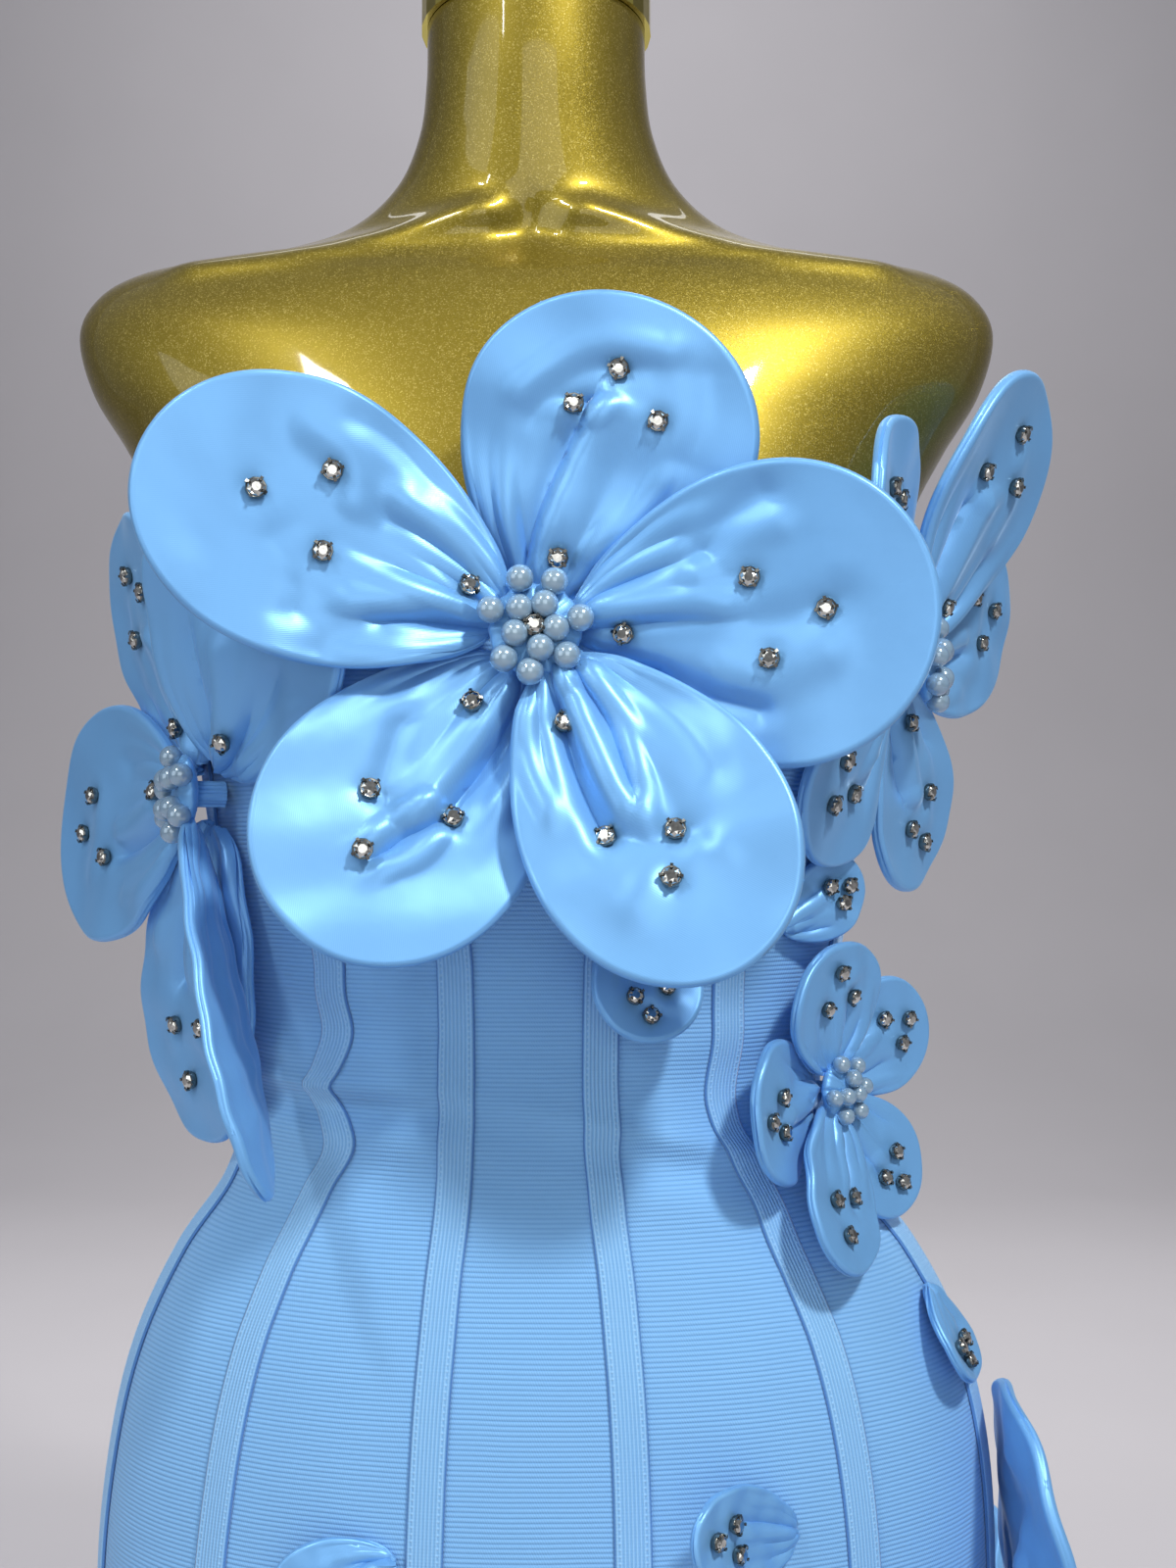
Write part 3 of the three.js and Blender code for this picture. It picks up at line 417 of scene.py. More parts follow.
class Nodes:
    """A material's node tree, with a short way to add and join nodes."""

    def __init__(self, name):
        self.material = bpy.data.materials.new(name)
        self.material.use_nodes = True
        self.tree = self.material.node_tree
        self.tree.nodes.clear()
        self.shader = self.tree.nodes.new("ShaderNodeBsdfPrincipled")
        output = self.tree.nodes.new("ShaderNodeOutputMaterial")
        self.tree.links.new(self.shader.outputs[0], output.inputs[0])

    def put(self, socket, value):
        """Joins or sets a socket. A tuple is a display colour."""
        if isinstance(value, bpy.types.NodeSocket):
            self.tree.links.new(value, socket)
        else:
            socket.default_value = colour(*value) if isinstance(value, tuple) else value

    def add(self, kind, inputs=None, out=0, **settings):
        node = self.tree.nodes.new("ShaderNode" + kind)
        for key, value in settings.items():
            setattr(node, key, value)
        for key, value in (inputs or {}).items():
            self.put(node.inputs[key], value)
        return node.outputs[out]

    def look(self, **inputs):
        """The finished material, with these values or links on its shader's sockets."""
        for key, value in inputs.items():
            self.put(self.shader.inputs[key.replace("_", " ")], value)
        return self.material

    def math(self, operation, a, b=0.0, c=0.0, clamp=False):
        return self.add("Math", {0: a, 1: b, 2: c}, operation=operation, use_clamp=clamp)

    def plus(self, a, b):
        return self.math("ADD", a, b)

    def times(self, a, b):
        return self.math("MULTIPLY", a, b)

    def mix(self, factor, a, b):
        return self.add("Mix", {0: factor, 6: a, 7: b}, out=2, data_type="RGBA")

    def cloth(self):
        """The two coordinates on the cloth, in mm."""
        uv = self.add("UVMap", uv_map="cloth")
        return [self.add("SeparateXYZ", {0: uv}, out=k) for k in (0, 1)]

    def wave(self, along, pitch, sharpness=1.0):
        """Ribs of that pitch, 0 in the valleys and 1 on the ridges."""
        turn = self.math("COSINE", self.times(along, 2 * math.pi / pitch))
        height = self.math("MULTIPLY_ADD", turn, 0.5, 0.5)
        return self.math("POWER", height, sharpness) if sharpness != 1 else height

    def noise(self, scale, detail, roughness=0.5):
        inputs = {"Scale": scale, "Detail": detail, "Roughness": roughness}
        return self.add("TexNoise", {"Vector": self.add("TexCoord", out=3), **inputs})

    def ramp(self, value, low, high):
        return self.add("MapRange", {"Value": value, "To Min": low, "To Max": high})

    def bump(self, height, distance, normal=None, strength=1.0):
        inputs = {"Height": height, "Distance": distance * MM, "Strength": strength}
        if normal is not None:
            inputs["Normal"] = normal
        return self.add("Bump", inputs)


def colour(red, green, blue):
    """A display colour, 0 to 255, as a linear one."""
    parts = [c / 255 for c in (red, green, blue)]
    return tuple(c / 12.92 if c <= 0.04045 else ((c + 0.055) / 1.055) ** 2.4 for c in parts) + (1.0,)


KNIT_RIB = 1.65
STRIP_RIB = 1.35
STITCH_ROW = 4.6  # from a strip's middle to its row of stitches
EDGE_SHADOW = 0.7  # width of the dark line of painted shadow along each edge where a strip meets the panel
KNITTED = {"Specular_IOR_Level": 0.3, "Sheen_Weight": 0.25, "Sheen_Roughness": 0.4}


def knit_material():
    n = Nodes("knit")
    u, v = n.cloth()
    rib = n.wave(n.plus(v, n.times(n.noise(18, 2), 1.2)), KNIT_RIB, 0.6)
    stitch = n.wave(n.plus(u, n.times(v, 0.5)), 0.9)
    patch = n.noise(14, 3)
    # Painted shade: the rib wave darkens the knit's colour in the valleys between its ribs and lightens it
    # on their ridges.
    ridge = n.mix(patch, (124, 178, 228), (134, 188, 236))
    return n.look(
        Base_Color=n.mix(rib, (110, 166, 220), ridge),
        Roughness=n.ramp(patch, 0.72, 0.86),
        Normal=n.bump(n.math("MULTIPLY_ADD", stitch, 0.22, rib), 0.2),
        **KNITTED,
    )


def strip_material():
    n = Nodes("strip_knit")
    u, v = n.cloth()
    rib = n.wave(u, STRIP_RIB)
    edge = n.math("ABSOLUTE", u)
    away = n.math("ABSOLUTE", n.math("SUBTRACT", edge, STITCH_ROW))
    row = n.math("SUBTRACT", 1.0, n.math("MINIMUM", 1.0, n.times(away, 2.2)))
    stitch = n.times(row, n.wave(v, 2.2, 2.0))
    height = n.plus(n.math("MULTIPLY_ADD", n.wave(v, 1.1), 0.15, rib), n.times(stitch, 0.9))
    patch = n.noise(20, 3)
    # Painted shade: the rib wave darkens the strip's colour in the valleys between its ribs and lightens it
    # on their ridges.
    base = n.mix(rib, (118, 174, 226), n.mix(patch, (140, 193, 240), (152, 203, 245)))
    # Painted shadow: a dark line along both edges of the strip, where it meets the panel.
    seam = n.math("MULTIPLY", n.math("SUBTRACT", edge, STRIP_WIDTH / 2 - EDGE_SHADOW), 2.5, clamp=True)
    base = n.mix(n.times(seam, 0.75), base, (52, 104, 178))
    return n.look(
        Base_Color=n.mix(n.times(stitch, 0.6), base, (170, 214, 248)),
        Roughness=n.ramp(patch, 0.7, 0.84),
        Normal=n.bump(height, 0.28),
        **KNITTED,
    )


def satin_material():
    n = Nodes("satin")
    u, v = n.cloth()
    twill = n.wave(n.plus(u, n.times(v, 0.6)), 0.75)
    base = n.mix(n.noise(9, 2), (104, 164, 222), (124, 182, 234))
    return n.look(
        Base_Color=n.mix(n.times(twill, 0.07), base, (140, 194, 240)),
        Metallic=0.27,
        Roughness=n.ramp(n.noise(900, 2, 0.7), 0.33, 0.44),
        Specular_IOR_Level=0.75,
        Specular_Tint=(190, 222, 255),
        Anisotropic=0.45,
        Anisotropic_Rotation=0.15,
        Tangent=n.add("Tangent", direction_type="UV_MAP", uv_map="cloth"),
        Sheen_Weight=0.35,
        Sheen_Roughness=0.3,
        Sheen_Tint=(190, 225, 255),
        Normal=n.bump(n.noise(22, 3, 0.6), 1.1, n.bump(twill, 0.012), 0.5),
    )


def pearl_material():
    n = Nodes("pearl")
    swirl = n.noise(160, 2)
    # Painted sheen: the colour turns blue towards the pearl's rim, by the angle it is seen at.
    rim = n.add("LayerWeight", {"Blend": 0.35}, out=1)
    return n.look(
        Base_Color=n.mix(rim, n.mix(swirl, (126, 156, 180), (158, 180, 192)), (120, 165, 208)),
        Metallic=0.25,
        Roughness=n.ramp(swirl, 0.16, 0.24),
        Specular_IOR_Level=0.7,
        Coat_Weight=1.0,
        Coat_Roughness=0.06,
        Normal=n.bump(swirl, 0.05),
    )


def gold_material():
    n = Nodes("gold_shell")
    flake = n.add("TexVoronoi", {"Vector": n.add("TexCoord", out=3), "Scale": 2400.0}, out=1)
    bright = n.add("SeparateColor", {0: flake})
    base = n.mix(n.noise(7, 3), (126, 110, 26), (142, 126, 38))
    return n.look(
        Base_Color=n.mix(n.times(n.math("POWER", bright, 8.0), 0.42), base, (226, 210, 128)),
        Metallic=0.85,
        Roughness=n.ramp(bright, 0.36, 0.5),
        Coat_Weight=0.7,
        Coat_Roughness=0.05,
        Normal=n.bump(bright, 0.035),
    )


def tape_material():
    n = Nodes("zip_tape")
    u, v = n.cloth()
    herring = n.wave(n.plus(v, n.math("ABSOLUTE", u)), 1.2)
    return n.look(
        Base_Color=n.mix(herring, (84, 140, 200), (112, 168, 224)),
        Roughness=n.ramp(herring, 0.7, 0.85),
        Specular_IOR_Level=0.3,
        Normal=n.bump(herring, 0.12),
    )


def grained_material(name, grain, low, high, rough, bump=0, **gloss):
    """A hard material whose colour and roughness both follow one noise of a given scale and detail."""
    n = Nodes(name)
    noise = n.noise(*grain)
    if bump:
        gloss["Normal"] = n.bump(noise, bump)
    return n.look(Base_Color=n.mix(noise, low, high), Roughness=n.ramp(noise, *rough), **gloss)


KNIT_LOOK = knit_material()
STRIP_LOOK = strip_material()
SATIN_LOOK = satin_material()
PEARL_LOOK = pearl_material()
GOLD_LOOK = gold_material()
TAPE_LOOK = tape_material()
STONE_LOOK = grained_material(
    "stone", (700, 1), (150, 150, 142), (240, 240, 234), (0.03, 0.1),
    Metallic=1.0, Coat_Weight=1.0, Coat_Roughness=0.02,
)
CLAW_LOOK = grained_material(
    "claw", (400, 3), (92, 92, 88), (150, 150, 144), (0.16, 0.3), 0.02, Metallic=1.0,
)
STEEL_LOOK = grained_material(
    "steel", (400, 3), (182, 184, 186), (206, 208, 210), (0.14, 0.28), 0.02, Metallic=1.0,
)
MIRROR_LOOK = grained_material(
    "gold_mirror", (30, 2), (212, 196, 92), (226, 212, 112), (0.03, 0.07), Metallic=1.0,
)
TEETH_LOOK = grained_material(
    "coil", (600, 2), (96, 150, 206), (122, 176, 226), (0.3, 0.42), Specular_IOR_Level=0.5,
)

# --- the torso form
FORM_STEPS = 224
FORM_LEVELS = 90  # sections below the armpits
YOKE_STEP = 0.1  # rows of the form's table from one section above them to the next


def add_form():
    angles = np.linspace(-np.pi, np.pi, FORM_STEPS, endpoint=False)
    below = np.linspace(0, ARMPIT_ROW, FORM_LEVELS)[:-1]
    above = np.arange(ARMPIT_ROW, len(FORM_ROWS) - 1 + 1e-6, YOKE_STEP)
    row = form_row(np.concatenate([below, above]))
    grid = shaped_yoke(section_point(row[:, None, :], angles))
    points = np.concatenate([grid.reshape(-1, 3), [grid[0].mean(0), grid[-1].mean(0)]])
    foot, crown = len(points) - 2, len(points) - 1
    rings = np.arange(foot).reshape(-1, FORM_STEPS)
    faces = [ring_faces(rings), fan_faces(foot, rings[0], flip=True), fan_faces(crown, rings[-1])]
    piece = add_mesh("torso", points, faces, GOLD_LOOK, sharp=60)
    finish_piece(piece, "gold_shell", "form")


# Ridges of the collar bones, each through points given by x and z, and the notch between them.
YOKE = Sizes(reach=7, depth=5.5, fade=22, front=20)
YOKE_LINES = [
    [(-132, 802), (-95, 804), (-58, 811), (-22, 818)],
    [(22, 818), (58, 812), (95, 805), (132, 803)],
]
NOTCH = Sizes(x=-3, z=812, reach=12, depth=5)


def shaped_yoke(grid):
    x, y, z = np.moveaxis(grid, -1, 0)
    lift = -NOTCH.depth * bell(x - NOTCH.x, NOTCH.reach) * bell(z - NOTCH.z, NOTCH.reach)
    for line in YOKE_LINES:
        px, pz = np.array(line).T
        ends = np.clip((x - px[0]) / YOKE.fade + 1, 0, 1) * np.clip((px[-1] - x) / YOKE.fade + 1, 0, 1)
        ends = ends ** 2 * (3 - 2 * ends)
        lift += YOKE.depth * bell(z - np.interp(x, px, pz), YOKE.reach) * ends
    front = np.clip(-y / YOKE.front, 0, 1)
    return grid - (lift * front)[..., None] * [0, 1, 0]


# --- knit panels
PANEL_STEP = 2.5
PANEL_COLUMN = 5.0
DEEPEST = -0.6  # how far a pucker may sink the cloth towards the form
# The crease at the waist and softer puckers round it: shares of the way round, heights, reach and depth.
SOFT_FOLDS = table(FOLD_COLUMNS, [
    (-0.42, 491, -0.07, 488, 4, 3.6),
    (-0.42, 481, -0.07, 479, 4.5, -1.5),
    (-0.09, 488, 0.3, 460, 5, 2.8),
    (-0.1, 478, 0.3, 449, 6, -1.3),
    (-0.34, 452, -0.1, 458, 9, -0.9),
    (-0.3, 525, -0.1, 520, 9, 1.2),
    (0.1, 500, 0.34, 512, 9, 1.1),
    (0.2, 470, 0.36, 478, 6, -1.1),
    (0.55, 470, 0.85, 462, 6, 1.3),
    (-0.85, 474, -0.55, 468, 6, 1.3),
    (0.6, 508, 0.9, 512, 8, -0.9),
    (-0.9, 506, -0.6, 512, 8, -0.9),
    (-0.3, 118, 0.2, 112, 12, 1.2),
    (0.5, 108, 0.9, 116, 12, 1.1),
])


def cloth_points(share, z, off):
    """Points at a height off the inside of the cloth."""
    spot, out = form_spot(share, z)
    folds = np.maximum(fold_depth(share, z, FOLDS) + fold_depth(share, z, SOFT_FOLDS), DEEPEST)
    return spot + out * (CLEARANCE + folds + off)[..., None]


def add_cloth(name, share, z, low, high, uv, look, slot, node):
    """A wall of cloth between two heights off the form."""
    inner, outer = cloth_points(share, z, low), cloth_points(share, z, high)
    piece = wall(name, inner, outer, look, np.stack(np.broadcast_arrays(*uv), -1))
    finish_piece(piece, slot, node)


def heights():
    """Rows of a panel or strip, as shares of its height."""
    return np.linspace(0, 1, int(round((TOP.side - HEM_Z) / PANEL_STEP)) + 1)


def add_panels():
    t = heights()
    level = HEM_Z + t * (TOP.side - HEM_Z)
    for panel in PANELS:
        around = side_total(panel.right_side, level)
        left = seam_share(panel.left_side, panel.left_seam, level)
        left = left + GAP / 2 / side_total(panel.left_side, level)
        right = seam_share(panel.right_side, panel.right_seam, level) - GAP / 2 / around
        columns = int(np.max((right - left) * around) / PANEL_COLUMN) + 2
        share = left[:, None] + (right - left)[:, None] * np.linspace(0, 1, columns)
        z = HEM_Z + t[:, None] * (top_height(share) - HEM_Z)
        uv = (share - share[:, :1]) * side_total(panel.right_side, z), z
        add_cloth(f"knit_{panel.name}", share, z, 0, KNIT, uv, KNIT_LOOK, "knit", f"panel_{panel.name}")


# --- strips and bands
STRIP_COLUMNS = 12
STRIP_ROUND = 0.9  # how far in from its edge a strip is rounded
STRIP_EDGE = 0.25  # share of its wall left at the edge
BAND_ROWS = 9
BAND_COLUMNS = 260


def rounded(edge, radius):
    """Share of the full height at a distance from a rounded edge."""
    return np.sqrt(np.clip(1 - (1 - np.clip(edge / radius, 0, 1)) ** 2, 0, 1))


def strip_profile(columns, width):
    """Places across a strip and how high off the panel its face is at each."""
    at = np.sin(np.linspace(-1, 1, columns) * np.pi / 2) * width / 2
    rise = rounded(width / 2 - np.abs(at), STRIP_ROUND)
    return at, STRIP_WALL * (STRIP_EDGE + (1 - STRIP_EDGE) * rise)


def add_strip(name, share, z, face, uv, node):
    low = KNIT + GAP
    add_cloth(f"bound_{name}", share, z, low, low + face, uv, STRIP_LOOK, "strip_knit", node)


def add_strips():
    t = heights()
    at, face = strip_profile(STRIP_COLUMNS, STRIP_WIDTH)
    band = BAND_HEIGHT + GAP
    bottom = HEM_Z + band
    level = bottom + t * (TOP.side - band - bottom)
    for panel in PANELS:
        side, seam = panel.right_side, panel.right_seam
        if seam == "end":
            continue
        share = seam_share(side, seam, level)[:, None] + at / side_total(side, level)[:, None]
        z = bottom + t[:, None] * (top_height(share) - band - bottom)
        name = f"{seam}_{'right' if side > 0 else 'left'}"
        add_strip(name, share, z, face, (at, z), f"strip_{name}")


def add_bands():
    rows, face = (line[:, None] for line in strip_profile(BAND_ROWS, BAND_HEIGHT))
    for name, middle, level, gap in (
        ("hem", BAND_HEIGHT / 2, HEM_Z, GAP),
        ("top", -BAND_HEIGHT / 2, TOP.side, ZIP.half + GAP),
    ):
        share = np.linspace(-1, 1, BAND_COLUMNS) * (1 - gap / side_total(1, level))
        edge = np.full(share.shape, HEM_Z, float) if name == "hem" else top_height(share)
        around = share * side_total(1, float(edge.mean()))
        add_strip(name, share, edge + middle + rows, face, (rows, around), f"{name}_band")


# --- petals
PETAL_CELLS = {"bust": 84, "waist": 44, "loose": 44}  # cells along and across a petal, by its flower
OTHER_CELLS = 56
# The rolled edge of each layer, the seam's notch inside it and the padding's rise behind it.
RIM = Sizes(radius=2.0, seat=0.5, notch=0.45, tip_notch=0.72, plump=0.5, blend=14)
CROWDING = 0.65  # how much the rows crowd towards the tip
FULL_WIDTH = 80  # narrower petals have a finer rim
ROOT_FLAT = Sizes(reach=0.08, share=0.35)  # the two layers close up at the root
NORMAL_STEP = 0.004  # shares of a petal either side of a point, for its normal


def petal_spread(along):
    """Half a petal's width short of its widest place, as a share of the widest."""
    spread = np.sin(np.pi / 2 * np.clip(along / PETAL_WAIST, 0, 1)) ** PETAL_ROUND
    return PETAL_ROOT + (1 - PETAL_ROOT) * spread


def petal_outline(r, c):
    q = np.clip((r - PETAL_WAIST) / (1 - PETAL_WAIST), 0, 1)
    outer = r > PETAL_WAIST
    across = np.where(outer, c * np.sqrt(1 - q * q / 2), c * petal_spread(r))
    along = np.where(outer, PETAL_WAIST + (1 - PETAL_WAIST) * q * np.sqrt(1 - c * c / 2), r)
    return across, along


def edge_distance(petal, across, along):
    """Distance in mm of flat points from the petal's outline, its root left open."""
    sides, tip = 80, 60
    r = np.concatenate([np.linspace(0, 1, sides), np.ones(tip), np.linspace(1, 0, sides)])
    c = np.concatenate([np.ones(sides), np.linspace(1, -1, tip), -np.ones(sides)])
    size = [petal.width / 2, petal.length]
    line = np.stack(petal_outline(r, c), -1) * size
    flat = (np.stack([across, along], -1) * size)[..., None, :]
    start, step = line[:-1], np.diff(line, axis=0)
    keep = (step ** 2).sum(1) > 1e-9
    start, step = start[keep], step[keep]
    f = np.clip(((flat - start) * step).sum(-1) / (step ** 2).sum(-1), 0, 1)
    return np.linalg.norm(flat - start - step * f[..., None], axis=-1).min(-1)


def crease_height(crease, x, y):
    """A ridge or trough from one point to another of the flat petal, in mm, uneven from side to side."""
    start = np.array([crease.from_x, crease.from_y], float)
    step = np.array([crease.to_x, crease.to_y]) - start
    length = np.linalg.norm(step)
    t = ((x - start[0]) * step[0] + (y - start[1]) * step[1]) / length ** 2
    bow = crease.bow * np.sin(np.pi * np.clip(t, 0, 1))
    off = ((x - start[0]) * step[1] - (y - start[1]) * step[0]) / length - bow
    reach = np.where(off > 0, crease.reach * crease.skew, crease.reach / crease.skew)
    before, beyond = np.clip(-t, 0, None) * length, np.clip(t - 1, 0, None) * length
    ends = bell(before, CREASE_ENDS[0]) * bell(beyond, CREASE_ENDS[1])
    return crease.height * bell(off, reach) * ends


# Ridges and troughs of each petal, in mm across it (clockwise side positive) and along it.
CREASE_ENDS = (5, 7)  # how far past its two ends a crease dies away
CREASE_COLUMNS = ("from_x", "from_y", "to_x", "to_y", "reach", "height", "skew", "bow")
CREASES = {
    "bust_petal1": [
        (-6, 3, -19, 35, 3.8, -3.4, 0.8, 2), (-1, 4, -18, 46, 4.5, 3.2, 1.5, 2),
        (-11, 4, -34, 40, 4.5, 2.4, 1, -3), (4, 10, 12, 46, 4.5, -2.8, 1, 2), (10, 8, 20, 44, 5, 2.2, 1, 2),
        (-28, 62, -8, 76, 8, -1.8, 1, 3), (14, 60, 28, 82, 6, 1.6, 1, 4), (30, 40, 38, 70, 5, -1, 1, 2),
    ],
    "bust_petal2": [
        (-8, 5, -5, 67, 5, 4.2, 2.6, -1.5), (-12, 6, -9, 64, 4, -2.6, 0.6, -1.5),
        (-15, 63, -3, 69, 3, 2.6, 1, 3), (-8, 69, -1, 71, 3, -2, 1, 0), (-33, 64, 10, 92, 5, 1.6, 1, -8),
        (-26, 58, 6, 84, 6, -1.2, 1, -7), (12, 8, 30, 40, 4, -2, 1, 2), (8, 22, 22, 50, 4, 1.6, 1, 2),
        (30, 60, 26, 88, 7, -1.2, 1, 3),
    ],
    "bust_petal3": [
        (-6, 2, -4, 50, 4, 3, 0.8, -1), (4, 2, 15, 26, 3.4, -3.2, 1, 1), (9, 14, 31, 60, 6, -3.4, 1, 2),
        (-24, 46, -40, 66, 8, -3.2, 1.2, -2), (-14, 44, -30, 70, 6, 1.8, 1, -2),
        (-16, 8, -28, 34, 4, -2, 1, -2), (18, 50, 14, 84, 7, 1.8, 1, 3), (2, 60, -4, 88, 6, -1.6, 1, 2),
    ],
    "bust_petal4": [
        (6, 14, 16, 60, 4.6, -6, 0.8, 2), (-1, 7, 5, 56, 3.4, 4.2, 1, 2), (-4, 14, -1, 50, 2.8, -3, 1, -2),
        (-8, 10, 1, 62, 3.4, 3.2, 0.8, -3), (18, 12, 26, 44, 4, 2.2, 1, 3),
        (-20, 20, -26, 60, 7, -1.6, 1, -3), (8, 66, -10, 76, 6, -1.8, 1, 3),
        (-14, 84, 18, 88, 7, 1.2, 1, 5),
    ],
    "bust_petal5": [
        (-3, 5, -5, 56, 5, 4, 2.2, -1), (-9, 6, -11, 56, 5, -3.8, 0.6, -1), (-9, 57, -2, 63, 3, 2, 1, 2),
        (-6, 62, 3, 80, 3.2, 2.8, 1, 2), (-14, 64, -8, 82, 3.2, 2.4, 1, -2),
        (-8, 63, -4, 76, 3, -2.4, 1, 0), (19, 40, 0, 70, 5, -2.2, 1, 3), (-15, 4, -24, 42, 3.6, 2.6, 1, -2),
        (-20, 6, -31, 40, 3.4, -2.2, 1, -2), (10, 8, 22, 36, 4, 1.8, 1, 2),
    ],
}
# The same kinds of crease on the other petals, for a petal 118 long and 94 wide.
CREASE_LENGTH = 118
CREASE_WIDTH = 94
CREASE_KINDS = {
    "lapped": [
        (-2, 4, -5, 58, 5, 3.8, 2.2, -1), (-8, 5, -11, 56, 4.5, -3.2, 0.6, -1),
        (-12, 60, 2, 66, 3.5, 2, 1, 2), (12, 8, 26, 44, 4, -2.2, 1, 2), (18, 56, 10, 84, 7, 1.6, 1, 3),
    ],
    "hollow": [
        (5, 12, 14, 58, 4.8, -4.6, 0.8, 2), (-2, 6, 4, 54, 3.6, 3.4, 1, 2), (-12, 10, -20, 48, 5, -2, 1, -2),
        (20, 14, 30, 48, 4, 1.8, 1, 3), (-14, 76, 16, 84, 7, 1.4, 1, 5),
    ],
    "fanned": [
        (-5, 3, -22, 46, 4, -3.4, 0.9, 2), (0, 4, -8, 50, 4, 2.6, 1.3, 2), (6, 6, 18, 52, 4.5, -2.6, 1, 2),
        (13, 8, 30, 46, 4, 2, 1, 2), (-26, 58, -4, 78, 7, -1.5, 1, 3),
    ],
    "plain": [(-6, 4, -10, 60, 8, -1.4, 1, 2), (10, 6, 16, 70, 9, 1.2, 1, -3)],
}
# Which kind each petal has, and whether it is seen as it stands (1) or turned over (-1).
PETAL_KINDS = {
    "left": [("fanned", 1), ("lapped", -1), ("hollow", -1), ("plain", 1), ("hollow", 1)],
    "right": [("lapped", 1), ("fanned", -1), ("hollow", 1), ("fanned", 1), ("lapped", -1)],
    "waist": [("hollow", 1), ("fanned", 1), ("lapped", -1), ("hollow", -1), ("lapped", 1)],
    "hip": [("hollow", -1), ("lapped", -1), ("fanned", 1), ("lapped", 1), ("fanned", -1)],
    "loose": [("lapped", 1), ("hollow", -1), ("fanned", 1), ("hollow", 1), ("lapped", -1)],
}
# Places of the stones as shares of half the petal's width and of its length.
THREE_STONES = [(-0.28, 0.6), (0.26, 0.66), (-0.02, 0.8)]
ROOT_STONE = (0.05, 0.14)
STONES = {
    "bust_petal1": [(0.05, 0.7), (0.42, 0.54), (-0.15, 0.48), (0.05, 0.11)],
    "bust_petal2": [(-0.07, 0.76), (-0.3, 0.6), (0.28, 0.65), (-0.05, 0.15)],
    "bust_petal3": [(-0.25, 0.5), (0, 0.7), (0.3, 0.54), (0.04, 0.14)],
    "bust_petal4": [(0.32, 0.52), (-0.13, 0.58), (0.1, 0.7), (0.22, 0.16)],
    "bust_petal5": [(0.28, 0.55), (0.06, 0.7), (-0.33, 0.48), (0.02, 0.18)],
    "waist_petal1": [(0.05, 0.78), (-0.3, 0.56), (0.25, 0.58)],
    "waist_petal4": [(-0.25, 0.52), (0.3, 0.62), (0, 0.78)],
}
DIMPLE = Sizes(reach=4.6, depth=1.7)
GATHER = Sizes(reach=0.32, height=0.022, waves=4.5)
SWELL = Sizes(count=3, height=0.55, shortest=34, longest=60)  # slow waves over the whole petal


def petal_creases(name, petal):
    """The creases of a petal: its own, or its kind's at its size."""
    if name in CREASES:
        return table(CREASE_COLUMNS, CREASES[name])
    flower, number = name.split("_petal")
    kind, side = PETAL_KINDS[flower][int(number) - 1]
    along, across = petal.length / CREASE_LENGTH, petal.width / CREASE_WIDTH
    return table(CREASE_COLUMNS, [
        (side * x0 * across, y0 * along, side * x1 * across, y1 * along,
         reach * across, height * across, skew ** side, side * bow * across)
        for x0, y0, x1, y1, reach, height, skew, bow in CREASE_KINDS[kind]
    ])


def petal_stones(name, petal):
    """The places of a petal's stones on it, in mm."""
    small = name.startswith(("waist", "loose"))
    shares = STONES.get(name, THREE_STONES if small else THREE_STONES + [ROOT_STONE])
    return [(x * petal.width / 2, y * petal.length) for x, y in shares]


def petal_lift(petal, name, across, along, seed):
    """Height of the petal's cloth over its bent middle surface: gathers, creases and dimples."""
    x, y = across * petal.width / 2, along * petal.length
    rng = np.random.RandomState(seed)
    phase = rng.uniform(0, 2 * np.pi, 8)
    fan = np.pi * across / np.clip(petal_spread(along), 0.05, 1)
    pleats = np.cos(GATHER.waves * fan + phase[0]) + 0.5 * np.cos(2.1 * GATHER.waves * fan + phase[1])
    uneven = 0.6 + 0.4 * np.cos(1.3 * fan + phase[2])
    lift = GATHER.height * petal.width * bell(along, GATHER.reach) * pleats * uneven
    scale = petal.width / 100
    for k in range(SWELL.count):
        wave = 2 * np.pi / (rng.uniform(SWELL.shortest, SWELL.longest) * scale)
        turn = rng.uniform(0, np.pi)
        place = wave * (x * math.cos(turn) + y * math.sin(turn))
        lift += SWELL.height * scale * np.cos(place + phase[3 + k])
    for crease in petal_creases(name, petal):
        lift += crease_height(crease, x, y)
    for sx, sy in petal_stones(name, petal):
        lift -= DIMPLE.depth * scale ** 0.5 * bell(np.hypot(x - sx, y - sy), DIMPLE.reach)
    return lift


def petal_middle(petal, name, r, c, seed):
    across, along = petal_outline(r, c)
    start = math.radians(petal.rise)
    turn = math.radians(petal.curl) or 1e-6
    angle = start + turn * along
    y = petal.length * (np.sin(angle) - math.sin(start)) / turn
    z = -petal.length * (np.cos(angle) - math.cos(start)) / turn
    half = petal.width / 2
    bend = math.radians(petal.cup) * np.clip(along / PETAL_WAIST, 0, 1)
    safe = np.where(bend > 1e-3, bend, 1)
    x = np.where(bend > 1e-3, half * np.sin(safe * across) / safe, half * across)
    cupped = np.where(bend > 1e-3, half * (1 - np.cos(safe * across)) / safe, 0)
    lift = cupped + petal_lift(petal, name, across, along, seed)
    return np.stack([x, y - lift * np.sin(angle), z + lift * np.cos(angle)], -1), across, along


def facing(yaw, pitch):
    turn, tilt = math.radians(yaw), math.radians(pitch)
    return np.array([math.sin(turn) * math.cos(tilt), -math.cos(turn) * math.cos(tilt), math.sin(tilt)])


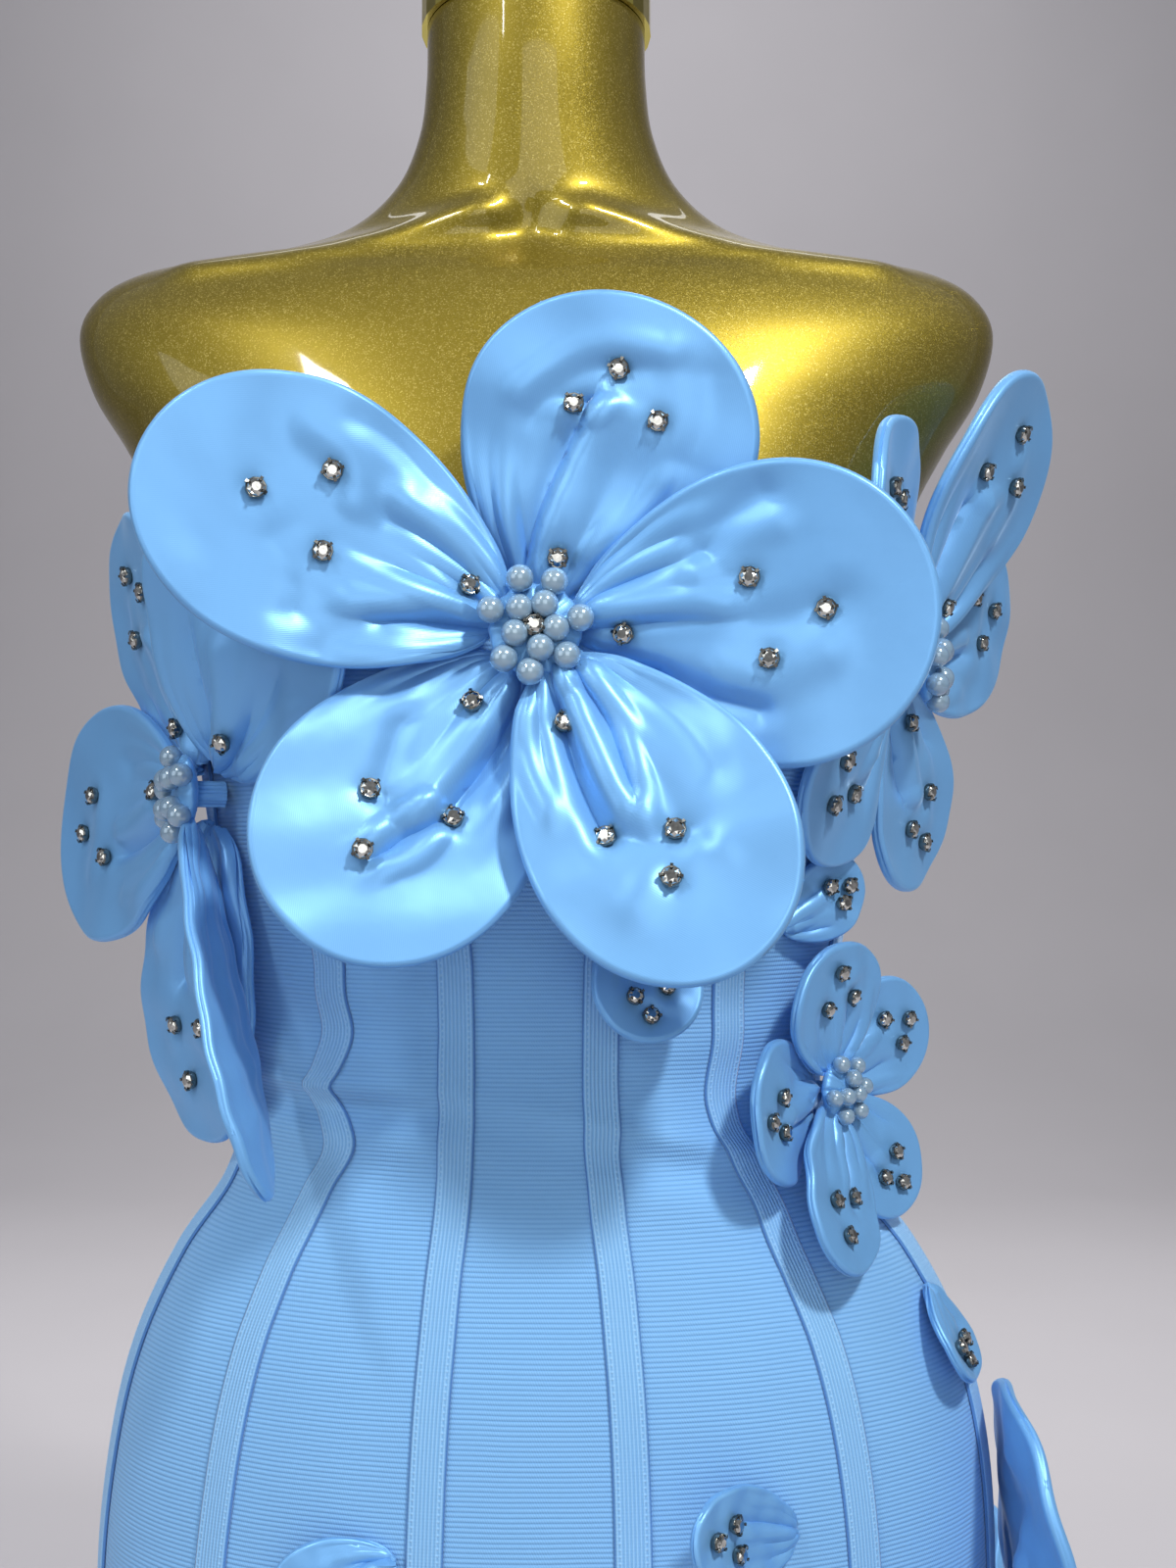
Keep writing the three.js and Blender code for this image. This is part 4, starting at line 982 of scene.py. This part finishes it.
def placed_frame(place):
    """The origin and the three axes of a group on the cloth: right, up and out."""
    out = facing(place.yaw, place.pitch)
    up = unit(np.array([0, 0, 1.0]) - out * out[2])
    spot, normal = form_spot(np.array(place.share), np.array(float(place.z)))
    depth = CLEARANCE + fold_depth(place.share, place.z, FOLDS) + KNIT + GAP + SATIN / 2
    return spot + normal * depth + out * place.off, np.stack([np.cross(up, out), up, out])


def petal_frame(place, petal, root):
    origin, axes = placed_frame(place)
    azimuth, spin = math.radians(petal.azimuth), math.radians(petal.spin)
    c, s = math.cos(azimuth), math.sin(azimuth)
    offset = np.array([root * c, root * s, petal.level])
    about_out = np.array([[s, c, 0], [-c, s, 0], [0, 0, 1]])
    c, s = math.cos(spin), math.sin(spin)
    about_length = np.array([[c, 0, s], [0, 1, 0], [-s, 0, c]])
    return origin + offset @ axes, (about_out @ about_length).T @ axes


def to_space(points, place):
    origin, axes = place
    return origin + points @ axes


def petal_layers(petal, name, seed):
    """Grids of a petal's middle surface, its normals, half its thickness and its flat places in mm."""
    cells = PETAL_CELLS.get(name.split("_")[0], OTHER_CELLS)
    half = petal.width / 2
    inside = 1 - RIM.notch / half
    c = np.concatenate([[-inside], np.sin(np.linspace(-1, 1, cells + 1) * np.pi / 2), [inside]])
    s = np.linspace(0, 1, cells + 1)
    r = (1 - CROWDING) * s + CROWDING * np.sin(s * np.pi / 2)
    r = np.append(r, 1 - RIM.tip_notch / petal.length)
    r, c = np.meshgrid(r, c, indexing="ij")
    middle, across, along = petal_middle(petal, name, r, c, seed)
    down, side = (
        petal_middle(petal, name, np.clip(r + dr, 0, 1), np.clip(c + dc, -1, 1), seed)[0]
        - petal_middle(petal, name, np.clip(r - dr, 0, 1), np.clip(c - dc, -1, 1), seed)[0]
        for dr, dc in ((NORMAL_STEP, 0), (0, NORMAL_STEP))
    )
    edge = edge_distance(petal, across, along)
    scale = min(1, petal.width / FULL_WIDTH) ** 0.5
    height = scale * (RIM.seat + RIM.radius * rounded(edge, RIM.radius * scale))
    height += RIM.plump * (1 - bell(edge, RIM.blend))
    height[:, [0, -1]] = 0
    height[-1] = 0
    height *= ROOT_FLAT.share + (1 - ROOT_FLAT.share) * np.clip(along / ROOT_FLAT.reach, 0, 1)
    return middle, unit(np.cross(side, down)), height, np.stack([across * half, along * petal.length], -1)


def add_petal(place, name, petal, root, seed):
    """A petal of two layers joined round the rim, and its front as grids of points and normals."""
    middle, normal, height, flat = petal_layers(petal, name, seed)
    seat = petal_frame(place, petal, root)
    front, back = (to_space(middle + side * normal * height[..., None], seat) for side in (1, -1))
    rows, columns = height.shape
    count = rows * columns
    seam = np.arange(count).reshape(rows, columns)
    behind = seam + count
    behind[:, 0], behind[:, -1], behind[-1] = seam[:, 0], seam[:, -1], seam[-1]
    joined = np.concatenate([seam.ravel(), behind.ravel()])
    root_faces = np.stack([seam[0, 1:], seam[0, :-1], behind[0, :-1], behind[0, 1:]], -1)[1:-1]
    faces = [grid_faces(rows, columns), joined[grid_faces(rows, columns, count, flip=True)], root_faces]
    points = np.concatenate([front.reshape(-1, 3), back.reshape(-1, 3)])
    points, faces, uv = compact(points, faces, np.concatenate([flat.reshape(-1, 2)] * 2))
    piece = add_mesh(name, points, faces, SATIN_LOOK, uv, sharp=70)
    finish_piece(piece, "satin", name.replace("petal", "petal_"))
    return front, unit(normal @ seat[1]), flat


def compact(points, faces, uv):
    used = np.unique(np.concatenate([f.ravel() for f in faces]))
    new = np.full(len(points), -1)
    new[used] = np.arange(len(used))
    return points[used], [new[f] for f in faces], uv[used]


# --- stones and pearls
STONE = Sizes(radius=3.1, cup=3.6, height=3.4, prong=0.55, stand=0.5, sink=0.3, tilt=0.06)
SMALL_STONES = 0.86  # scale of the stones on the waist flower and on the single petals
CUP_STEPS = 12


def stone_points():
    """A cut stone: a flat table, kite facets and a girdle, as points and flat faces."""
    radius, top = STONE.radius, STONE.height
    rings = [circle(0.5 * radius, top + 0.55, 8), circle(0.78 * radius, top + 0.2, 8, 0.5)]
    rings += [circle(radius, top - 0.5, 8), [(0, 0, top + 0.55)]]
    k = np.arange(8)
    n = (k + 1) % 8
    middle, girdle, next_girdle, centre = 8 + k, 16 + k, 16 + n, 24 + 0 * k
    facets = [(k, middle, n), (k, girdle, middle), (n, middle, next_girdle), (girdle, next_girdle, middle)]
    return np.concatenate(rings), np.concatenate([np.stack(f, -1) for f in facets + [(centre, k, n)]])


def claw_points():
    """The metal cup under a stone with its four claws, as points and four-cornered faces."""
    cup, radius, top, prong = STONE.cup, STONE.radius, STONE.height, STONE.prong
    outline = [(0.82 * cup, 0), (cup, 1), (cup, top - 0.9), (0.93 * cup, top - 0.5)]
    outline.append((0.9 * radius, top - 0.6))
    points = [circle(r, z, CUP_STEPS) for r, z in outline]
    count = len(outline) * CUP_STEPS
    faces = [ring_faces(np.arange(count).reshape(-1, CUP_STEPS))]
    path = [(1.02 * cup, top - 1.6, prong), (1.02 * cup, top - 0.1, prong)]
    path.append((0.84 * radius, top + 0.45, 0.7 * prong))
    claw = np.array([
        (r + out, side * half, z + 0.6 * max(out, 0))
        for r, z, half in path for out in (-0.25, 0.3) for side in (-1, 1)
    ])
    sides = np.array([(2, 3, 7, 6), (0, 4, 5, 1), (0, 2, 6, 4), (1, 5, 7, 3)])
    sides = np.concatenate([sides, sides + 4, [(8, 10, 11, 9)]])
    for k in range(4):
        c, s = math.cos(math.pi * (k + 0.5) / 2), math.sin(math.pi * (k + 0.5) / 2)
        points.append(claw @ [[c, s, 0], [-s, c, 0], [0, 0, 1]])
        faces.append(count + k * len(claw) + sides)
    return np.concatenate(points), np.concatenate(faces)


def sphere_points(radius, rings=14, steps=20):
    """A ball: its points, the faces round it and the triangles at its two ends."""
    angles = np.pi * np.arange(1, rings) / rings
    points = [circle(radius * math.sin(a), radius * math.cos(a), steps) for a in angles]
    numbers = 1 + np.arange((rings - 1) * steps).reshape(-1, steps)
    tips = fan_faces(0, numbers[0]), fan_faces(numbers.size + 1, numbers[-1], flip=True)
    points = np.concatenate([[(0, 0, radius)], *points, [(0, 0, -radius)]])
    return points, ring_faces(numbers, flip=True), np.concatenate(tips)


def repeated(points, faces, places, scale=1):
    """Copies of a shape, each at a place given by an origin and three axes."""
    copies = [to_space(points * scale, place) for place in places]
    return np.concatenate(copies), np.concatenate([faces + k * len(points) for k in range(len(places))])


def axes_from(normal, turn):
    helper = np.array([0, 0, 1.0]) if abs(normal[2]) < 0.9 else np.array([0, 1.0, 0])
    right = unit(np.cross(helper, normal))
    up = np.cross(normal, right)
    c, s = math.cos(turn), math.sin(turn)
    return np.stack([c * right + s * up, -s * right + c * up, normal])


def add_stones(name, spots, scale, seed):
    rng = np.random.RandomState(seed)
    places = []
    for point, normal in spots:
        tilt = unit(normal + rng.uniform(-STONE.tilt, STONE.tilt, 3))
        places.append((point - tilt * STONE.sink, axes_from(tilt, rng.uniform(0, 2 * math.pi))))
    points, faces = repeated(*stone_points(), places, scale)
    finish_piece(add_mesh(f"{name}_stones", points, [faces], STONE_LOOK, flat=True), "stone")
    points, faces = repeated(*claw_points(), places, scale)
    finish_piece(add_mesh(f"{name}_claws", points, [faces], CLAW_LOOK, sharp=40), "steel")


# Pearls of each size of flower: across and up from its middle, in mm, and how far out.
BEADS = {
    "large": [
        (-5.1, 6.0, 0), (3.2, 7.3, 0.4), (6.9, -0.7, 0), (1.8, -7.4, 0.3), (-6.7, -2.5, 0.2),
        (-5.1, 16.2, -0.7), (6.4, 15.2, -0.8), (-14.8, 5.6, -0.6), (15, 2.8, -0.5),
        (-10.3, -10.8, -0.8), (10.6, -9.8, -0.6), (-1.6, -15.2, -0.7),
    ],
    "middle": [
        (-5.6, 5.2, 0), (5.2, 5.6, 0.3), (5.6, -5.2, 0), (-5.2, -5.6, 0.2),
        (-13.2, 2.0, -1.6), (-3.0, 13.6, -1.5), (12.6, 6.4, -1.7), (11.8, -8.2, -1.5),
        (-0.6, -14, -1.6), (-12.4, -8.6, -1.6),
    ],
    "small": [
        (0.6, 4.2, 0.4), (3.8, -1.8, 0), (-3.6, -2.2, 0.3),
        (-4.4, 9.6, -1.2), (5.6, 8.4, -1.4), (9.8, 0.4, -1.3), (6.2, -8.4, -1.2),
        (-2.6, -9.6, -1.4), (-9.4, -2.4, -1.2),
    ],
}
BEAD_RADIUS = {"large": 4.7, "middle": 4.4, "small": 3.4}
BEAD_SEAT = 0.8  # from the pad's face to the lowest point that a bead could have
BEAD_RISE = 0.62  # a bead's middle above that, in its own radii
HEART_STONE = 3.2  # height of the bust flower's middle stone over the pad's face
# The pad: rings by share of its rim, height over its face and share of the pleats; then its neck.
PAD_STEPS = 96
PAD_RINGS = [
    (0.02, 1.6, 0), (0.2, 1.7, 0.1), (0.42, 1.5, 0.3), (0.62, 1.0, 0.6), (0.8, 0.2, 0.9),
    (0.93, -0.9, 1.0), (0.98, -2.0, 1.0), (0.93, -3.2, 1.0), (0.82, -4.2, 0.8), (0.7, -5.0, 0.6),
]
PAD_PLEATS = [(17, 0.5), (26, 0.3), (9, 0.25)]
PAD = Sizes(rim=3.4, out=0.35, up=0.5, neck=0.42, neck_pleat=0.12, under=6.5, below=9, foot=-4.0, cloth=1.6)


def add_hearts():
    """The pearls of each flower, sewn to a small gathered pad of satin."""
    for k, flower in enumerate(FLOWERS):
        place = placed_frame(flower)
        size = BEAD_RADIUS[flower.beads]
        face = flower.face + BEAD_SEAT + size * BEAD_RISE
        spots = to_space(np.array(BEADS[flower.beads]) + [0, 0, face], place)
        ball, sides, tips = sphere_points(size)
        places = [(spot, place[1]) for spot in spots]
        points, sides = repeated(ball, sides, places)
        faces = [sides, repeated(ball, tips, places)[1]]
        pearls = add_mesh(f"{flower.name}_heart", points, faces, PEARL_LOOK)
        finish_piece(pearls, "pearl", f"{flower.name}_pearls")
        add_pad(flower, place, k)


def add_pad(flower, place, seed):
    """The round of gathered satin under a flower's pearls, from the cloth out to them."""
    rim, face = PAD.rim * BEAD_RADIUS[flower.beads], flower.face
    phase = np.random.RandomState(40 + seed).uniform(0, 2 * np.pi, len(PAD_PLEATS))
    turn = 2 * np.pi * np.arange(PAD_STEPS) / PAD_STEPS
    pleat = sum(size * np.cos(count * turn + start) for (count, size), start in zip(PAD_PLEATS, phase))
    rings = [circle(rim * share + pleat * PAD.out * depth, face + up + pleat * PAD.up * depth, PAD_STEPS)
             for share, up, depth in PAD_RINGS]
    neck = flower.pad * PAD.neck * (1 + PAD.neck_pleat * pleat)
    rings += [circle(neck, z, PAD_STEPS) for z in (face - PAD.under, face - PAD.below, PAD.foot)]
    numbers = np.arange(len(rings) * PAD_STEPS).reshape(-1, PAD_STEPS)
    faces = [ring_faces(numbers, flip=True), fan_faces(numbers.size, numbers[0])]
    flat = [circle(rim * s, 0, PAD_STEPS)[:, :2] for s in np.linspace(0, PAD.cloth, len(rings))]
    points = to_space(np.concatenate(rings + [rings[0].mean(0)[None]]), place)
    pad = add_mesh(f"{flower.name}_pad", points, faces, SATIN_LOOK, np.concatenate(flat + [[(0, 0)]]))
    finish_piece(pad, "satin")


# --- flowers


def stone_spots(name, petal, front, normal, flat):
    """Where a petal's stones stand and which way they face."""
    upright = unit(normal.reshape(-1, 3).mean(0))
    spots = []
    for place in petal_stones(name, petal):
        distance = np.linalg.norm(flat - place, axis=-1)
        i = np.unravel_index(np.argmin(distance), distance.shape)
        around = (front[distance < STONE.cup] - front[i]) @ upright
        stand = STONE.stand + 0.6 * float(around.max(initial=0))
        spots.append((front[i] + upright * stand, unit(normal[i] + 2 * upright)))
    return spots


def add_flowers():
    seed = 1
    for flower in FLOWERS:
        spots = []
        for k, petal in enumerate(PETALS[flower.name]):
            name = f"{flower.name}_petal{k + 1}"
            made = add_petal(flower, name, petal, flower.pad + ROOT_GAP, seed)
            spots += stone_spots(name, petal, *made)
            seed += 1
        if flower.name == "bust":
            place = placed_frame(flower)
            spots.append((to_space(np.array([0, 0, flower.face + HEART_STONE]), place), place[1][2]))
        add_stones(flower.name, spots, SMALL_STONES if flower.name == "waist" else 1, seed)
    for k, petal in enumerate(LOOSE_PETALS):
        name = f"loose_petal{k + 1}"
        made = add_petal(petal, name, petal, 0, seed)
        add_stones(name, stone_spots(name, petal, *made), SMALL_STONES, seed)
        seed += 1


# --- the zip at the centre back
ZIP = Sizes(half=12, tape=0.9, columns=14, pitch=1.5, reach=1.5, thick=0.55, across=1.24875, rise=1.5)


def back_share(at, z):
    """The share of the way round at a distance right or left of the centre back."""
    side = np.where(at > 0, -1, 1)
    total = np.where(at > 0, side_total(-1, z), side_total(1, z))
    return side * (1 - np.abs(at) / total)


def add_zip():
    low, high = (corner[2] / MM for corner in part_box("zip"))
    z = np.linspace(low, high, int((high - low) / PANEL_STEP))[:, None]
    at, z = np.broadcast_arrays(np.linspace(-ZIP.half, ZIP.half, ZIP.columns), z)
    inside = KNIT + GAP
    share = back_share(at, z)
    add_cloth("zip_tape", share, z, inside, inside + ZIP.tape, (at, z), TAPE_LOOK, "zip_tape", "zip")
    add_teeth(low, high)


def add_teeth(low, high):
    """The coil's turns, alternately left and right of the middle, each a short six-sided rod."""
    rod = np.concatenate([circle(ZIP.thick, x, 6)[:, [2, 1, 0]] for x in (-ZIP.reach, ZIP.reach)])
    rings = np.arange(12).reshape(2, 6)
    k = np.arange(int((high - low) / ZIP.pitch) - 2)
    z = low + ZIP.pitch * (1 + k)
    at = np.where(k % 2 == 0, -ZIP.across, ZIP.across)
    places = [(middle, np.eye(3)) for middle in cloth_points(back_share(at, z), z, KNIT + GAP + ZIP.rise)]
    points, sides = repeated(rod, ring_faces(rings), places)
    caps = repeated(rod, np.stack([rings[0, ::-1], rings[1]]), places)[1]
    teeth = add_mesh("zip_teeth", points, [sides, caps], TEETH_LOOK)
    finish_piece(teeth, "zip_tape")


# --- carried-over hard pieces


def dress_cad_nodes():
    looks = {"form_cap": MIRROR_LOOK, "zip_slider": STEEL_LOOK, "zip_pull": STEEL_LOOK}
    for name, look in looks.items():
        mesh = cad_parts[name].data
        mesh.materials.clear()
        mesh.materials.append(look)


# --- light, floor and wall


def add_light(name, place, aim, size, power, tint=(1, 1, 1), size_y=None, glossy=True):
    data = bpy.data.lights.new(name, "AREA")
    data.shape = "RECTANGLE" if size_y else "SQUARE"
    data.size = size
    if size_y:
        data.size_y = size_y
    data.energy = power
    data.color = tint
    light = bpy.data.objects.new(name, data)
    light.location = place
    light.visible_glossy = glossy
    light.rotation_euler = (Vector(aim) - Vector(place)).to_track_quat("-Z", "Y").to_euler()
    bpy.context.scene.collection.objects.link(light)


# The sweep: a pale floor that curves up into a wall behind the object, in mm.
SWEEP = Sizes(half=9000, front=-9000, bend=2150, radius=1500, top=6000, steps=32, level=-1)


def add_stage():
    turn = np.linspace(0, np.pi / 2, SWEEP.steps)
    bend, radius = SWEEP.bend, SWEEP.radius
    y = np.concatenate([[SWEEP.front], bend + radius * np.sin(turn), [bend + radius]])
    z = SWEEP.level + np.concatenate([[0], radius * (1 - np.cos(turn)), [SWEEP.top]])
    grid = np.stack(np.broadcast_arrays([-SWEEP.half, SWEEP.half], y[:, None], z[:, None]), -1)
    n = Nodes("sweep")
    look = n.look(Base_Color=n.mix(n.noise(3, 2), (176, 173, 177), (182, 179, 183)), Roughness=0.8)
    add_mesh("sweep", grid.reshape(-1, 3), [grid_faces(len(y), 2, flip=True)], look)


def add_lights():
    add_light("key", (0.75, -1.15, 1.95), (0, 0, 0.62), 0.18, 30, (1, 0.98, 0.95))
    add_light("left_spot", (-0.8, -1.0, 1.9), (0, 0, 0.7), 0.14, 6, (1, 0.98, 0.95))
    add_light("left_fill", (-1.6, -1.2, 1.0), (0, 0, 0.55), 1.2, 7, (0.95, 0.98, 1))
    add_light("front_fill", (0.2, -2.4, 0.9), (0, 0, 0.5), 1.4, 10)
    add_light("top", (-0.2, -0.2, 2.4), (0, 0, 0.7), 0.5, 8, glossy=False)
    add_light("back_left", (-1.0, 1.5, 1.7), (0, 0, 0.5), 0.9, 14, glossy=False)
    add_light("back_right", (1.0, 1.5, 1.7), (0, 0, 0.5), 0.9, 14, glossy=False)
    add_light("back_spot", (0.2, 1.6, 2.6), (0, 0, 0.7), 0.2, 5)
    add_light("strip_left", (-0.6, -1.0, 1.45), (0, -0.05, 0.9), 0.03, 1.4, size_y=0.35)
    add_light("wall_wash", (0, 1.7, 3.1), (0, 3.65, 1.2), 2.0, 38)
    world = bpy.data.worlds.new("world")
    world.use_nodes = True
    background = world.node_tree.nodes["Background"]
    background.inputs[0].default_value = colour(196, 198, 204)
    background.inputs[1].default_value = 0.4
    bpy.context.scene.world = world
    bpy.context.scene.view_settings.view_transform = "Standard"


# --- the whole
add_form()
add_panels()
add_strips()
add_bands()
add_flowers()
add_hearts()
add_zip()
dress_cad_nodes()
add_stage()
add_lights()
